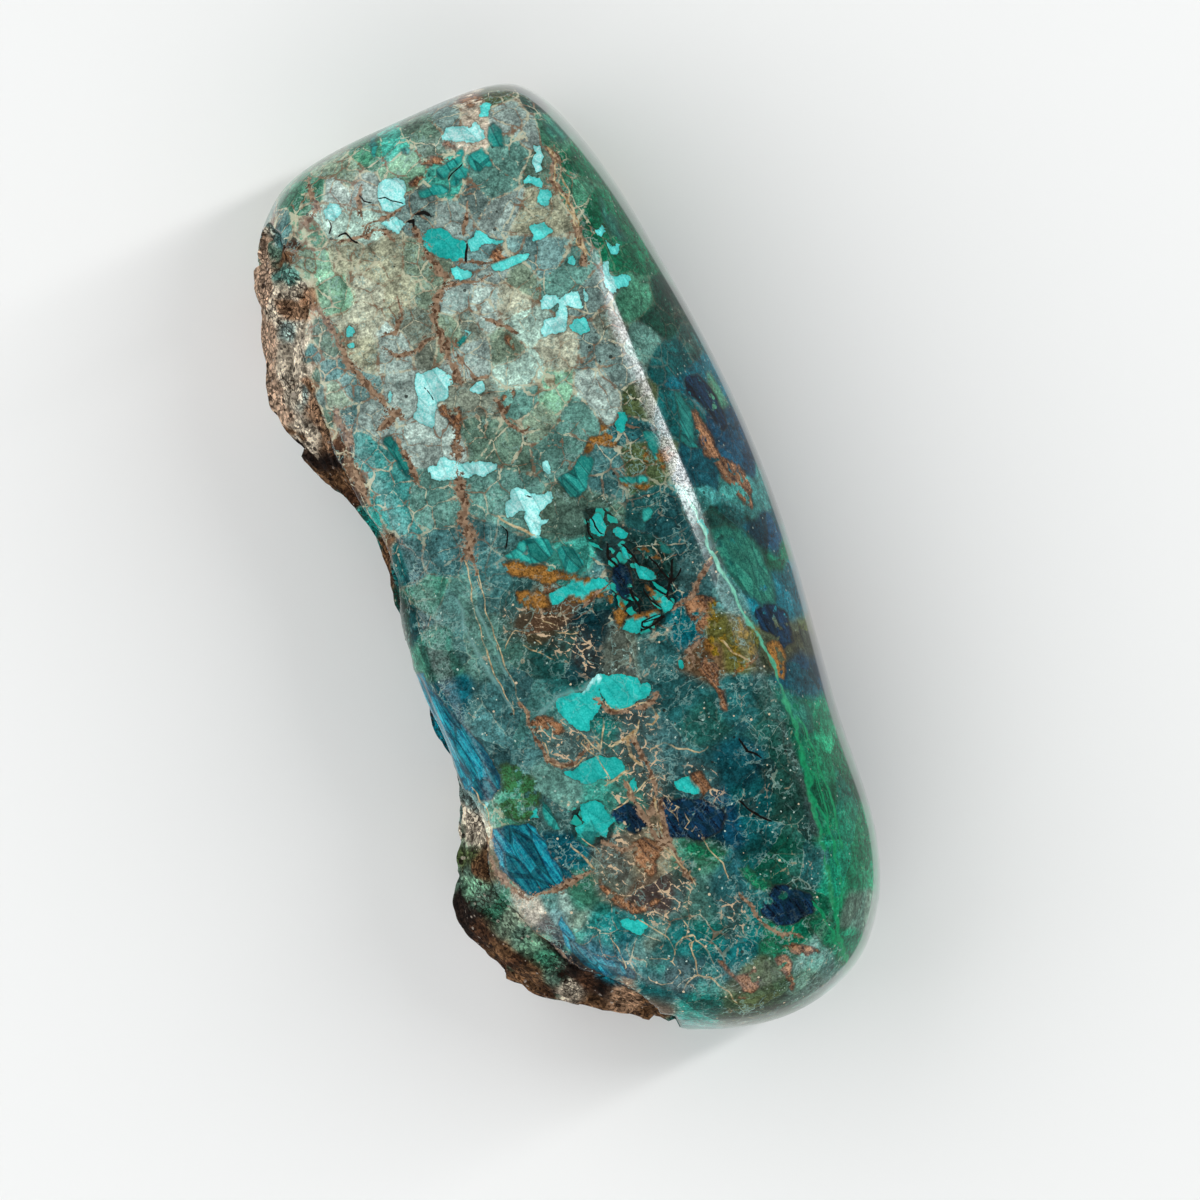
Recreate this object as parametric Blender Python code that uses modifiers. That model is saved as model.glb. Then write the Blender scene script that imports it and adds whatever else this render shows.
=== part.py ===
"""A shattuckite freeform: one stone, ground flat on its back, polished on its face, shoulder and
ends, and left as natural rind in two patches on its left side. It lies on its back.
Metres, +Z up. The origin is under the middle of the stone, on the surface that it lies on.
+Y runs along the stone to its narrow end, and +X to the side with the polished shoulder."""

from math import floor

import bmesh
import bpy
import numpy as np
from mathutils import Vector, noise

MM = 0.001

# Driving dimensions, in millimetres
LENGTH = 85.0
WIDTH = 38.6
BELLY_HEIGHT = 9.0
FLANK_HEIGHT = 16.5
SHOULDER_HEIGHT = 21.8
FACE_CROWN = 2.2
NARROW_END_DROP = 2.6
WIDE_END_DROP = 1.4
LEFT_DROP = 1.6
TRIANGLES = 9400

# How far the rings below the belly draw in, as shares of the belly's outline, and their heights
FOOT_SHARE = (0.83, 0.925)
HEEL_SHARE = (0.955, 0.98)
FOOT_HEIGHT = -0.9
HEEL_HEIGHT = 2.9
FLANK_SHARE = 0.42

# Each station is (belly x, belly y, edge x, edge y) in millimetres: where the stone is widest,
# and where its polished face ends above that place. The four runs go round it clockwise.
NARROW_END = [
    (-14.3, 38.8, -12.2, 35.9), (-10.8, 41.4, -9.6, 38.1), (-5.5, 42.0, -5.2, 38.9),
    (0.0, 42.2, 0.0, 39.4), (4.5, 42.8, 4.5, 39.7), (8.7, 43.3, 7.6, 39.5),
]
RIGHT_SIDE = [
    (12.0, 40.4, 9.8, 37.6), (15.2, 33.7, 11.5, 31.5), (16.5, 27.2, 11.8, 26.0),
    (17.7, 20.2, 11.9, 20.2), (19.1, 12.6, 12.3, 13.4), (20.1, 4.8, 12.8, 6.4),
    (19.8, -3.0, 13.0, -0.4), (19.6, -10.6, 13.4, -8.0), (18.7, -17.5, 13.6, -15.0),
    (18.3, -24.5, 13.6, -22.5), (18.3, -31.1, 13.3, -29.5),
]
WIDE_END = [
    (15.8, -37.0, 12.2, -34.5), (11.9, -41.9, 9.7, -38.1), (5.7, -43.6, 5.4, -39.6),
    (0.2, -42.7, 1.2, -39.3), (-4.7, -40.9, -2.8, -37.7), (-8.4, -39.0, -6.2, -35.4),
    (-12.9, -36.5, -9.6, -32.2), (-17.2, -32.8, -11.8, -28.2),
]
LEFT_SIDE = [
    (-20.4, -27.3, -14.4, -24.6), (-18.4, -22.4, -14.7, -20.6), (-18.0, -16.9, -14.3, -16.9),
    (-15.1, -13.4, -13.4, -14.0), (-15.6, -9.0, -14.2, -9.4), (-16.5, -4.6, -14.8, -4.8),
    (-16.1, -0.4, -14.4, -0.8), (-14.9, 4.0, -13.5, 3.6), (-14.8, 8.2, -13.5, 7.8),
    (-16.3, 11.6, -14.0, 11.4), (-17.7, 14.7, -14.8, 14.8), (-20.2, 19.4, -15.0, 18.2),
    (-20.1, 23.8, -14.9, 21.8), (-19.8, 28.1, -14.0, 25.8), (-19.0, 32.6, -13.2, 29.6),
    (-16.6, 36.2, -12.8, 33.2),
]

# Where the cage's cells end along a run of stations: narrow cells by the corners keep them full
CELLS_ACROSS = (0.0, 0.11, 0.3, 0.5, 0.7, 0.89, 1.0)
CELLS_ALONG = (0.0, 0.04, 0.12, 0.21, 0.31, 0.41, 0.51, 0.61, 0.71, 0.8, 0.885, 0.96, 1.0)
RINGS = 4
SUBDIVISIONS = 3

# The line where the polish stops, seen from above, from the narrow end to the wide one. Beyond it
# lies the natural rind.
RIND_LINE = [
    (-24.0, 37.6), (-13.8, 37.1), (-13.6, 35.3), (-13.3, 33.4), (-12.9, 31.2), (-12.6, 29.2),
    (-13.1, 28.1), (-14.0, 27.5), (-14.8, 26.4), (-15.0, 24.5), (-15.0, 20.1), (-15.2, 15.7),
    (-14.8, 12.0), (-14.3, 9.5), (-14.1, 6.8), (-14.0, 4.5), (-15.0, -0.6), (-15.4, -5.0),
    (-15.4, -9.4), (-14.9, -12.6), (-14.7, -14.4), (-14.3, -15.2), (-13.9, -16.4), (-13.9, -18.6),
    (-14.3, -20.3), (-14.7, -22.4), (-14.4, -24.8), (-13.6, -26.4), (-12.5, -28.2), (-11.5, -29.6),
    (-10.7, -31.2), (-9.9, -32.4), (-8.9, -33.3), (-7.1, -34.6), (-6.2, -35.9), (-5.3, -37.4),
    (-5.1, -38.7), (-5.0, -48.0), (-24.0, -48.0),
]
# The rind also covers the whole left flank below RIND_TOP, and it draws in towards the ground back
FLANK_LINE = [(-24.0, 36.0), (-9.0, 33.0), (-9.0, -30.0), (-4.0, -38.0), (-4.0, -48.0), (-24.0, -48.0)]
RIND_TOP = 16.5
RIND_DRAW_IN = 0.02
# The chipped edge of blue fibres at the waist, which was never quite polished
FIBRE_LINE = [
    (-22.0, -3.0), (-14.4, -3.4), (-13.4, -6.2), (-12.6, -9.8), (-12.1, -13.2), (-13.0, -14.6),
    (-15.2, -14.8), (-22.0, -13.6),
]
# The crust that stands over the polish line near the narrow end
CRUST_PLACE = (-13.2, 31.4, 19.2)
CRUST_SIZE = (2.0, 3.2, 2.6)
CRUST_HEIGHT = 1.5

RIND_STEP = 0.9
CREVICE_DEPTH = 0.6
CREVICE_WIDTH = 0.9
LUMP_SIZE = 6.0
LUMP_HEIGHT = 1.0
KNOB_SIZE = 2.4
KNOB_HEIGHT = 0.42
GRIT_SIZE = 1.1
GRIT_HEIGHT = 0.16
LEDGE_SPACING = 3.0
LEDGE_HEIGHT = 0.55
FIBRE_STEP = 0.35
FIBRE_HEIGHT = 0.3
FIBRE_SIZE = (0.9, 7.0, 2.0)
HAND_WAVE_SIZE = 17.0
HAND_WAVE_HEIGHT = 0.32

STONE_COLOR = (0.055, 0.21, 0.22, 1.0)
STONE_ROUGHNESS = 0.15


def remove_startup_objects():
    for obj in list(bpy.data.objects):
        bpy.data.objects.remove(obj, do_unlink=True)


def spline_through(stations, steps=12):
    """Points on a smooth closed curve through the stations, and how many lie from one to the next."""
    stations = np.array(stations, float)
    before, after, beyond = (np.roll(stations, shift, axis=0) for shift in (1, -1, -2))
    fine = []
    for share in np.arange(steps) / steps:
        fine.append(
            0.5 * (
                2 * stations + (after - before) * share
                + (2 * before - 5 * stations + 4 * after - beyond) * share**2
                + (3 * stations - before - 3 * after + beyond) * share**3
            )
        )
    return np.stack(fine, axis=1).reshape(-1, stations.shape[1]), steps


def cells_of_run(fine, first, last, shares):
    """Points at these shares of the belly's length from fine point first to fine point last."""
    run = fine[np.arange(first, last + 1) % len(fine)]
    lengths = np.linalg.norm(np.diff(run[:, :2], axis=0), axis=1)
    along = np.concatenate([[0.0], np.cumsum(lengths)])
    targets = np.array(shares) * along[-1]
    return np.stack([np.interp(targets, along, column) for column in run.T], axis=1)


def outline_cells():
    """The four sides of the cage as arrays of belly and edge points: left to right, then upwards."""
    runs = [NARROW_END, RIGHT_SIDE, WIDE_END, LEFT_SIDE]
    fine, steps = spline_through([station for run in runs for station in run])
    starts = np.cumsum([0] + [len(run) for run in runs]) * steps
    cells = [CELLS_ACROSS, CELLS_ALONG, CELLS_ACROSS, CELLS_ALONG]
    sides = [cells_of_run(fine, starts[n], starts[n + 1], cells[n]) for n in range(4)]
    return {"top": sides[0], "right": sides[1][::-1], "bottom": sides[2][::-1], "left": sides[3]}


def edge_height(point):
    """The height of the polished face's edge: it falls to both ends and to the left."""
    along = 2 * point[1] / LENGTH
    end_drop = NARROW_END_DROP * max(along, 0) ** 4 + WIDE_END_DROP * max(-along, 0) ** 4
    left_drop = LEFT_DROP * max(0.0, 0.5 - point[0] / WIDTH)
    return SHOULDER_HEIGHT - end_drop - left_drop


def ring_point(cell, ring):
    """A point of the cage's side on one of its rings, from the foot (0) to the face's edge (4)."""
    belly, edge = cell[:2], cell[2:]
    if ring == 0:
        return (*(belly * FOOT_SHARE), FOOT_HEIGHT)
    if ring == 1:
        return (*(belly * HEEL_SHARE), HEEL_HEIGHT)
    if ring == 2:
        return (*belly, BELLY_HEIGHT)
    if ring == 3:
        return (*(belly + (edge - belly) * FLANK_SHARE), FLANK_HEIGHT)
    return (*edge, edge_height(edge))


def face_point(sides, column, row, ring):
    """A point inside the face or the back, blended from the four sides of that ring."""
    u, v = CELLS_ACROSS[column], CELLS_ALONG[row]
    left, right = (np.array(ring_point(sides[s][row], ring)) for s in ("left", "right"))
    bottom, top = (np.array(ring_point(sides[s][column], ring)) for s in ("bottom", "top"))
    corners = [[np.array(ring_point(sides[s][n], ring)) for n in (0, -1)] for s in ("bottom", "top")]
    lower = (1 - u) * corners[0][0] + u * corners[0][1]
    upper = (1 - u) * corners[1][0] + u * corners[1][1]
    point = (1 - v) * bottom + v * top + (1 - u) * left + u * right - (1 - v) * lower - v * upper
    if ring == RINGS:
        point[2] += FACE_CROWN * (16 * u * (1 - u) * v * (1 - v)) ** 0.6
    return point


def make_cage():
    """A cube cut into cells, whose points are moved to the rings of the stone."""
    across, along = len(CELLS_ACROSS) - 1, len(CELLS_ALONG) - 1
    sides = outline_cells()
    cage = bmesh.new()
    bmesh.ops.create_cube(cage, size=2.0)
    for axis, cells in enumerate((across, along, RINGS)):
        parallel = [
            edge for edge in cage.edges
            if abs(edge.verts[0].co[axis] - edge.verts[1].co[axis]) > 1e-6
        ]
        bmesh.ops.subdivide_edges(cage, edges=parallel, cuts=cells - 1, use_grid_fill=True)
    for vert in cage.verts:
        column = round((vert.co.x + 1) / 2 * across)
        row = round((vert.co.y + 1) / 2 * along)
        ring = round((vert.co.z + 1) / 2 * RINGS)
        if column == 0:
            point = ring_point(sides["left"][row], ring)
        elif column == across:
            point = ring_point(sides["right"][row], ring)
        elif row == 0:
            point = ring_point(sides["bottom"][column], ring)
        elif row == along:
            point = ring_point(sides["top"][column], ring)
        else:
            point = face_point(sides, column, row, ring)
        vert.co = Vector([float(x) for x in point]) * MM
    bmesh.ops.recalc_face_normals(cage, faces=cage.faces)
    mesh = bpy.data.meshes.new("stone_cage")
    cage.to_mesh(mesh)
    cage.free()
    return mesh


def depth_inside(points, line):
    """How far each point lies inside a closed line, in its own units: negative outside it."""
    line = np.array(line, float)
    ends = np.roll(line, -1, axis=0)
    nearest = np.full(len(points), np.inf)
    inside = np.zeros(len(points), bool)
    for start, end in zip(line, ends):
        run = end - start
        share = np.clip((points - start) @ run / (run @ run), 0, 1)
        nearest = np.minimum(nearest, np.linalg.norm(points - start - share[:, None] * run, axis=1))
        if abs(run[1]) > 1e-9:
            crosses = (start[1] > points[:, 1]) != (end[1] > points[:, 1])
            at_x = start[0] + (points[:, 1] - start[1]) / run[1] * run[0]
            inside ^= crosses & (points[:, 0] < at_x)
    return np.where(inside, nearest, -nearest)


def rind_depth(points):
    """How far each point lies beyond the polish line, or below it on the left flank."""
    below_belly = np.maximum(BELLY_HEIGHT - points[:, 2], 0.0)
    spread = np.stack([points[:, 0], points[:, 1] * (1 + RIND_DRAW_IN * below_belly)], axis=1)
    flank = np.minimum(depth_inside(spread, FLANK_LINE), RIND_TOP - points[:, 2])
    return np.maximum(depth_inside(spread, RIND_LINE), flank)


def rind_relief(point, depth):
    """How far the surface of the rind lies below the polish there, in millimetres."""
    depth += 0.5 * noise.noise(point / 2.6)
    if depth <= 0:
        return 0.0
    step = RIND_STEP * min(depth / 0.6, 1.0)
    crevice = CREVICE_DEPTH * max(0.0, 1 - abs(2 * depth / CREVICE_WIDTH - 1))
    fade = min(depth / 1.2, 1.0)
    lumps = LUMP_HEIGHT * noise.noise(point / LUMP_SIZE) + KNOB_HEIGHT * noise.noise(point / KNOB_SIZE)
    layer = (depth + 1.4 * noise.noise(point / 7.0)) / LEDGE_SPACING
    ledges = LEDGE_HEIGHT * (0.5 - layer + floor(layer))
    grit = GRIT_HEIGHT * noise.noise(point / GRIT_SIZE)
    return step + crevice - fade * (lumps + ledges + grit)


def crust_relief(point):
    """How far the knobbly crust stands up at this point, in millimetres."""
    offset = Vector([(point[n] - CRUST_PLACE[n]) / CRUST_SIZE[n] for n in range(3)])
    cover = max(0.0, 1 - offset.length_squared)
    return CRUST_HEIGHT * cover * (0.75 + 0.9 * noise.noise(point / 0.9))


def fibre_relief(point, depth):
    """How far the chipped blue fibres lie below the polish, in millimetres."""
    if depth <= 0:
        return 0.0
    along_fibres = Vector([point[n] / FIBRE_SIZE[n] for n in range(3)])
    fade = min(depth / 0.8, 1.0)
    return fade * (FIBRE_STEP + FIBRE_HEIGHT * noise.noise(along_fibres))


def carve_surface(mesh):
    """Moves the points of the smooth stone to its hand-ground waves, its rind and its fibres."""
    count = len(mesh.vertices)
    points = np.empty(count * 3)
    mesh.vertices.foreach_get("co", points)
    points = points.reshape(-1, 3) / MM
    rind = rind_depth(points)
    fibres = depth_inside(points[:, :2], FIBRE_LINE)
    directions = [vert.normal.copy() for vert in mesh.vertices]
    for index, vert in enumerate(mesh.vertices):
        point = Vector(points[index])
        wave = HAND_WAVE_HEIGHT * noise.noise(point / HAND_WAVE_SIZE) + crust_relief(point)
        sunk = rind_relief(point, rind[index]) + fibre_relief(point, fibres[index])
        # Near the ground back the relief only moves sideways, so the cut keeps one plain rim
        directions[index].z *= min(max(point.z / HEEL_HEIGHT, 0.0), 1.0)
        vert.co += directions[index] * (wave - sunk) * MM
    mesh.update()


def grind_back(mesh):
    """Cuts the stone off flat where it rests and closes the cut with one face."""
    shape = bmesh.new()
    shape.from_mesh(mesh)
    geometry = shape.verts[:] + shape.edges[:] + shape.faces[:]
    cut = bmesh.ops.bisect_plane(
        shape, geom=geometry, dist=1e-7, plane_co=(0, 0, 0), plane_no=(0, 0, 1), clear_inner=True
    )
    rim = [item for item in cut["geom_cut"] if isinstance(item, bmesh.types.BMEdge)]
    bmesh.ops.contextual_create(shape, geom=rim)
    for vert in shape.verts:
        if abs(vert.co.z) < 1e-6:
            vert.co.z = 0.0
    bmesh.ops.triangulate(shape, faces=shape.faces)
    shape.to_mesh(mesh)
    shape.free()


def apply_modifiers(obj):
    graph = bpy.context.evaluated_depsgraph_get()
    mesh = bpy.data.meshes.new_from_object(obj.evaluated_get(graph), depsgraph=graph)
    obj.modifiers.clear()
    obj.data = mesh
    return mesh


def polished_stone_material():
    material = bpy.data.materials.new("polished_stone")
    material.use_nodes = True
    shader = material.node_tree.nodes["Principled BSDF"]
    shader.inputs["Base Color"].default_value = STONE_COLOR
    shader.inputs["Roughness"].default_value = STONE_ROUGHNESS
    shader.inputs["Metallic"].default_value = 0.0
    return material


def make_stone():
    stone = bpy.data.objects.new("shattuckite_stone", make_cage())
    collection = bpy.data.collections.new("shattuckite_freeform")
    bpy.context.scene.collection.children.link(collection)
    collection.objects.link(stone)
    rounding = stone.modifiers.new("rounding", "SUBSURF")
    rounding.levels = SUBDIVISIONS
    rounding.render_levels = SUBDIVISIONS
    carve_surface(apply_modifiers(stone))
    facets = stone.modifiers.new("facets", "DECIMATE")
    facets.decimate_type = "COLLAPSE"
    facets.ratio = TRIANGLES / (2 * len(stone.data.polygons))
    mesh = apply_modifiers(stone)
    grind_back(mesh)
    mesh.materials.append(polished_stone_material())
    mesh.shade_smooth()
    return stone


remove_startup_objects()
make_stone()
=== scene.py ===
"""How a shattuckite freeform looks: one cut stone, polished on its face, shoulder and ends, with
natural rind down its left side. Metres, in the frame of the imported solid; most sizes below are in
millimetres and are turned to metres where they are used."""

from math import cos, floor, radians, sin

import bmesh
import bpy
import numpy as np
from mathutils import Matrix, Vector, noise


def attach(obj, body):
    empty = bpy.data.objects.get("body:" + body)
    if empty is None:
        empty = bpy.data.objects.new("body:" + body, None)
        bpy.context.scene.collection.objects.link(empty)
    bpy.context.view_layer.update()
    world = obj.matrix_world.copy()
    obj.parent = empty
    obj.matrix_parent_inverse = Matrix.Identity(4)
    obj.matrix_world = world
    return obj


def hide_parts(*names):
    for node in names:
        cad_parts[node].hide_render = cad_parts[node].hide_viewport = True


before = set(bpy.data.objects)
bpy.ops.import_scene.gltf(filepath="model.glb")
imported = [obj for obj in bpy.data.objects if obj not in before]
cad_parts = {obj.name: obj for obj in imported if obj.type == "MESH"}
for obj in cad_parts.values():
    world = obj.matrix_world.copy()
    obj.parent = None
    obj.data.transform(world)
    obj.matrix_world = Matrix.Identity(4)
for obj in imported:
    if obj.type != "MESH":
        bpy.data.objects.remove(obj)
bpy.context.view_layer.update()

# THE TABLE AND THE CAMERA
# A pale smooth table top, with the camera straight above it. The stone lies on its ground back,
# turned so that its narrow end points up and to the left in the picture.
MM = 0.001
PICTURE_SIZE = 1200
PIXELS_PER_RADIAN = 6000.0
SENSOR_WIDTH = 36.0
CAMERA_HEIGHT = 530.739
CAMERA_OVER = (1.8714, -2.9792)
STONE_LEANS = 19.5
TABLE_SIZE = 2400.0
TABLE_COLOR = (0.84, 0.84, 0.83, 1.0)
TABLE_ROUGHNESS = 0.6

camera_data = bpy.data.cameras.new("camera")
camera_data.sensor_width = SENSOR_WIDTH
camera_data.lens = SENSOR_WIDTH * PIXELS_PER_RADIAN / PICTURE_SIZE
camera_data.clip_end = 20.0
camera = bpy.data.objects.new("camera", camera_data)
camera.location = (CAMERA_OVER[0] * MM, CAMERA_OVER[1] * MM, CAMERA_HEIGHT * MM)
camera.rotation_euler = (0.0, 0.0, radians(-STONE_LEANS))
bpy.context.scene.collection.objects.link(camera)
bpy.context.scene.camera = camera

table_shape = bmesh.new()
bmesh.ops.create_grid(table_shape, x_segments=1, y_segments=1, size=TABLE_SIZE / 2 * MM)
table_mesh = bpy.data.meshes.new("table")
table_shape.to_mesh(table_mesh)
table_shape.free()
table = bpy.data.objects.new("table", table_mesh)
bpy.context.scene.collection.objects.link(table)
table_finish = bpy.data.materials.new("pale_table")
table_finish.use_nodes = True
table_shader = table_finish.node_tree.nodes["Principled BSDF"]
table_shader.inputs["Base Color"].default_value = TABLE_COLOR
table_shader.inputs["Roughness"].default_value = TABLE_ROUGHNESS
table_mesh.materials.append(table_finish)

# THE STUDIO LIGHT
# Large soft boxes round the table and a dim pale room. One narrow box on the right draws the
# streak along the stone's ridge.
ROOM_COLOR = (0.95, 0.98, 1.0)
ROOM_STRENGTH = 1.07
# The room's light fades from the walls to the dark ceiling, between these heights of a direction
ROOM_HEIGHTS = (0.35, 0.95)
ROOM_SHADES = (0.8, 0.08)
# Each soft box: how far its light comes from straight above, its bearing from +X, its distance,
# its two sizes and its power in watts
SOFT_BOXES = {
    "key": (58.0, 140.0, 900.0, 1500.0, 1000.0, 6.8),
    "fill": (55.0, 250.0, 900.0, 1500.0, 1000.0, 5.0),
    "ridge_streak": (50.0, 6.4, 800.0, 60.0, 640.0, 2.5),
}

room = bpy.data.worlds.new("pale_room")
room.use_nodes = True
room_tree = room.node_tree
room_light = room_tree.nodes["Background"]
room_light.inputs["Strength"].default_value = ROOM_STRENGTH
direction = room_tree.nodes.new("ShaderNodeTexCoord")
height = room_tree.nodes.new("ShaderNodeSeparateXYZ")
shade = room_tree.nodes.new("ShaderNodeMapRange")
shade.interpolation_type = "SMOOTHSTEP"
shade.inputs["From Min"].default_value, shade.inputs["From Max"].default_value = ROOM_HEIGHTS
shade.inputs["To Min"].default_value, shade.inputs["To Max"].default_value = ROOM_SHADES
tone = room_tree.nodes.new("ShaderNodeVectorMath")
tone.operation = "SCALE"
tone.inputs[0].default_value = ROOM_COLOR
room_tree.links.new(direction.outputs["Generated"], height.inputs[0])
room_tree.links.new(height.outputs["Z"], shade.inputs["Value"])
room_tree.links.new(shade.outputs["Result"], tone.inputs["Scale"])
room_tree.links.new(tone.outputs["Vector"], room_light.inputs["Color"])
bpy.context.scene.world = room
bpy.context.scene.view_settings.view_transform = "Standard"
bpy.context.scene.view_settings.look = "None"

for box_name, (tilt, bearing, distance, wide, tall, power) in SOFT_BOXES.items():
    light = bpy.data.lights.new(box_name, "AREA")
    light.shape = "RECTANGLE"
    light.size = wide * MM
    light.size_y = tall * MM
    light.energy = power
    soft_box = bpy.data.objects.new(box_name, light)
    toward = Vector((
        sin(radians(tilt)) * cos(radians(bearing)),
        sin(radians(tilt)) * sin(radians(bearing)),
        cos(radians(tilt)),
    ))
    soft_box.location = toward * distance * MM
    soft_box.rotation_euler = toward.to_track_quat("Z", "Y").to_euler()
    soft_box.visible_camera = False
    bpy.context.scene.collection.objects.link(soft_box)

# THE STONE
# A breccia of quartz, shattuckite, chrysocolla and malachite, sawn from a vein and ground by hand:
# flat on its back, crowned on its face, rounded over its right shoulder. The left side keeps its
# natural rind. It is one solid piece that was polished all over except on the rind and the back.
LENGTH = 85.0
WIDTH = 38.6
BELLY_HEIGHT = 9.0
FLANK_HEIGHT = 16.5
SHOULDER_HEIGHT = 21.8
FACE_CROWN = 2.2
NARROW_END_DROP = 2.6
WIDE_END_DROP = 1.4
LEFT_DROP = 1.6
FOOT_SHARE = (0.83, 0.925)
HEEL_SHARE = (0.955, 0.98)
FOOT_HEIGHT = -0.9
HEEL_HEIGHT = 2.9
FLANK_SHARE = 0.42

# Each station is (belly x, belly y, edge x, edge y) in millimetres: where the stone is widest,
# and where its polished face ends above that place. The four runs go round it clockwise.
NARROW_END = [
    (-14.3, 38.8, -12.2, 35.9), (-10.8, 41.4, -9.6, 38.1), (-5.5, 42.0, -5.2, 38.9),
    (0.0, 42.2, 0.0, 39.4), (4.5, 42.8, 4.5, 39.7), (8.7, 43.3, 7.6, 39.5),
]
RIGHT_SIDE = [
    (12.0, 40.4, 9.8, 37.6), (15.2, 33.7, 11.5, 31.5), (16.5, 27.2, 11.8, 26.0),
    (17.7, 20.2, 11.9, 20.2), (19.1, 12.6, 12.3, 13.4), (20.1, 4.8, 12.8, 6.4),
    (19.8, -3.0, 13.0, -0.4), (19.6, -10.6, 13.4, -8.0), (18.7, -17.5, 13.6, -15.0),
    (18.3, -24.5, 13.6, -22.5), (18.3, -31.1, 13.3, -29.5),
]
WIDE_END = [
    (15.8, -37.0, 12.2, -34.5), (11.9, -41.9, 9.7, -38.1), (5.7, -43.6, 5.4, -39.6),
    (0.2, -42.7, 1.2, -39.3), (-4.7, -40.9, -2.8, -37.7), (-8.4, -39.0, -6.2, -35.4),
    (-12.9, -36.5, -9.6, -32.2), (-17.2, -32.8, -11.8, -28.2),
]
LEFT_SIDE = [
    (-20.4, -27.3, -14.4, -24.6), (-18.4, -22.4, -14.7, -20.6), (-18.0, -16.9, -14.3, -16.9),
    (-15.1, -13.4, -13.4, -14.0), (-15.6, -9.0, -14.2, -9.4), (-16.5, -4.6, -14.8, -4.8),
    (-16.1, -0.4, -14.4, -0.8), (-14.9, 4.0, -13.5, 3.6), (-14.8, 8.2, -13.5, 7.8),
    (-16.3, 11.6, -14.0, 11.4), (-17.7, 14.7, -14.8, 14.8), (-20.2, 19.4, -15.0, 18.2),
    (-20.1, 23.8, -14.9, 21.8), (-19.8, 28.1, -14.0, 25.8), (-19.0, 32.6, -13.2, 29.6),
    (-16.6, 36.2, -12.8, 33.2),
]

# Where the cage's cells end along a run of stations: narrow cells by the corners keep them full
CELLS_ACROSS = (0.0, 0.11, 0.3, 0.5, 0.7, 0.89, 1.0)
CELLS_ALONG = (0.0, 0.04, 0.12, 0.21, 0.31, 0.41, 0.51, 0.61, 0.71, 0.8, 0.885, 0.96, 1.0)
RINGS = 4
SUBDIVISIONS = 4

# The line where the polish stops, seen from above, from the narrow end to the wide one. Beyond it
# lies the natural rind.
RIND_LINE = [
    (-24.0, 37.6), (-13.8, 37.1), (-13.6, 35.3), (-13.3, 33.4), (-12.9, 31.2), (-12.6, 29.2),
    (-13.1, 28.1), (-14.0, 27.5), (-14.8, 26.4), (-15.0, 24.5), (-15.0, 20.1), (-15.2, 15.7),
    (-14.8, 12.0), (-14.3, 9.5), (-14.1, 6.8), (-14.0, 4.5), (-15.0, -0.6), (-15.4, -5.0),
    (-15.4, -9.4), (-14.9, -12.6), (-14.7, -14.4), (-14.3, -15.2), (-13.9, -16.4), (-13.9, -18.6),
    (-14.3, -20.3), (-14.7, -22.4), (-14.4, -24.8), (-13.6, -26.4), (-12.5, -28.2), (-11.5, -29.6),
    (-10.7, -31.2), (-9.9, -32.4), (-8.9, -33.3), (-7.1, -34.6), (-6.2, -35.9), (-5.3, -37.4),
    (-5.1, -38.7), (-5.0, -48.0), (-24.0, -48.0),
]
# The rind also covers the whole left flank below RIND_TOP, and it draws in towards the ground back
FLANK_LINE = [(-24.0, 36.0), (-9.0, 33.0), (-9.0, -30.0), (-4.0, -38.0), (-4.0, -48.0), (-24.0, -48.0)]
RIND_TOP = 16.5
RIND_DRAW_IN = 0.02
# The chipped edge of blue fibres at the waist, which was never quite polished
FIBRE_LINE = [
    (-22.0, -3.0), (-14.4, -3.4), (-13.4, -6.2), (-12.6, -9.8), (-12.1, -13.2), (-13.0, -14.6),
    (-15.2, -14.8), (-22.0, -13.6),
]
# The crust that stands over the polish line near the narrow end
CRUST_PLACE = (-13.2, 31.4, 19.2)
CRUST_SIZE = (2.0, 3.2, 2.6)
CRUST_HEIGHT = 1.5

RIND_STEP = 0.9
CREVICE_DEPTH = 0.6
CREVICE_WIDTH = 0.9
LUMP_SIZE = 6.0
LUMP_HEIGHT = 1.0
KNOB_SIZE = 2.4
KNOB_HEIGHT = 0.42
GRIT_SIZE = 1.1
GRIT_HEIGHT = 0.16
LEDGE_SPACING = 3.0
LEDGE_HEIGHT = 0.55
FIBRE_STEP = 0.35
FIBRE_HEIGHT = 0.3
FIBRE_SIZE = (0.9, 7.0, 2.0)
HAND_WAVE_SIZE = 17.0
HAND_WAVE_HEIGHT = 0.32

# The markings below are placed by the (column, row) of the photograph's pixels at which they show,
# and are laid on the stone by the camera above. Each is an outline of one mineral's fragment.

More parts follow.
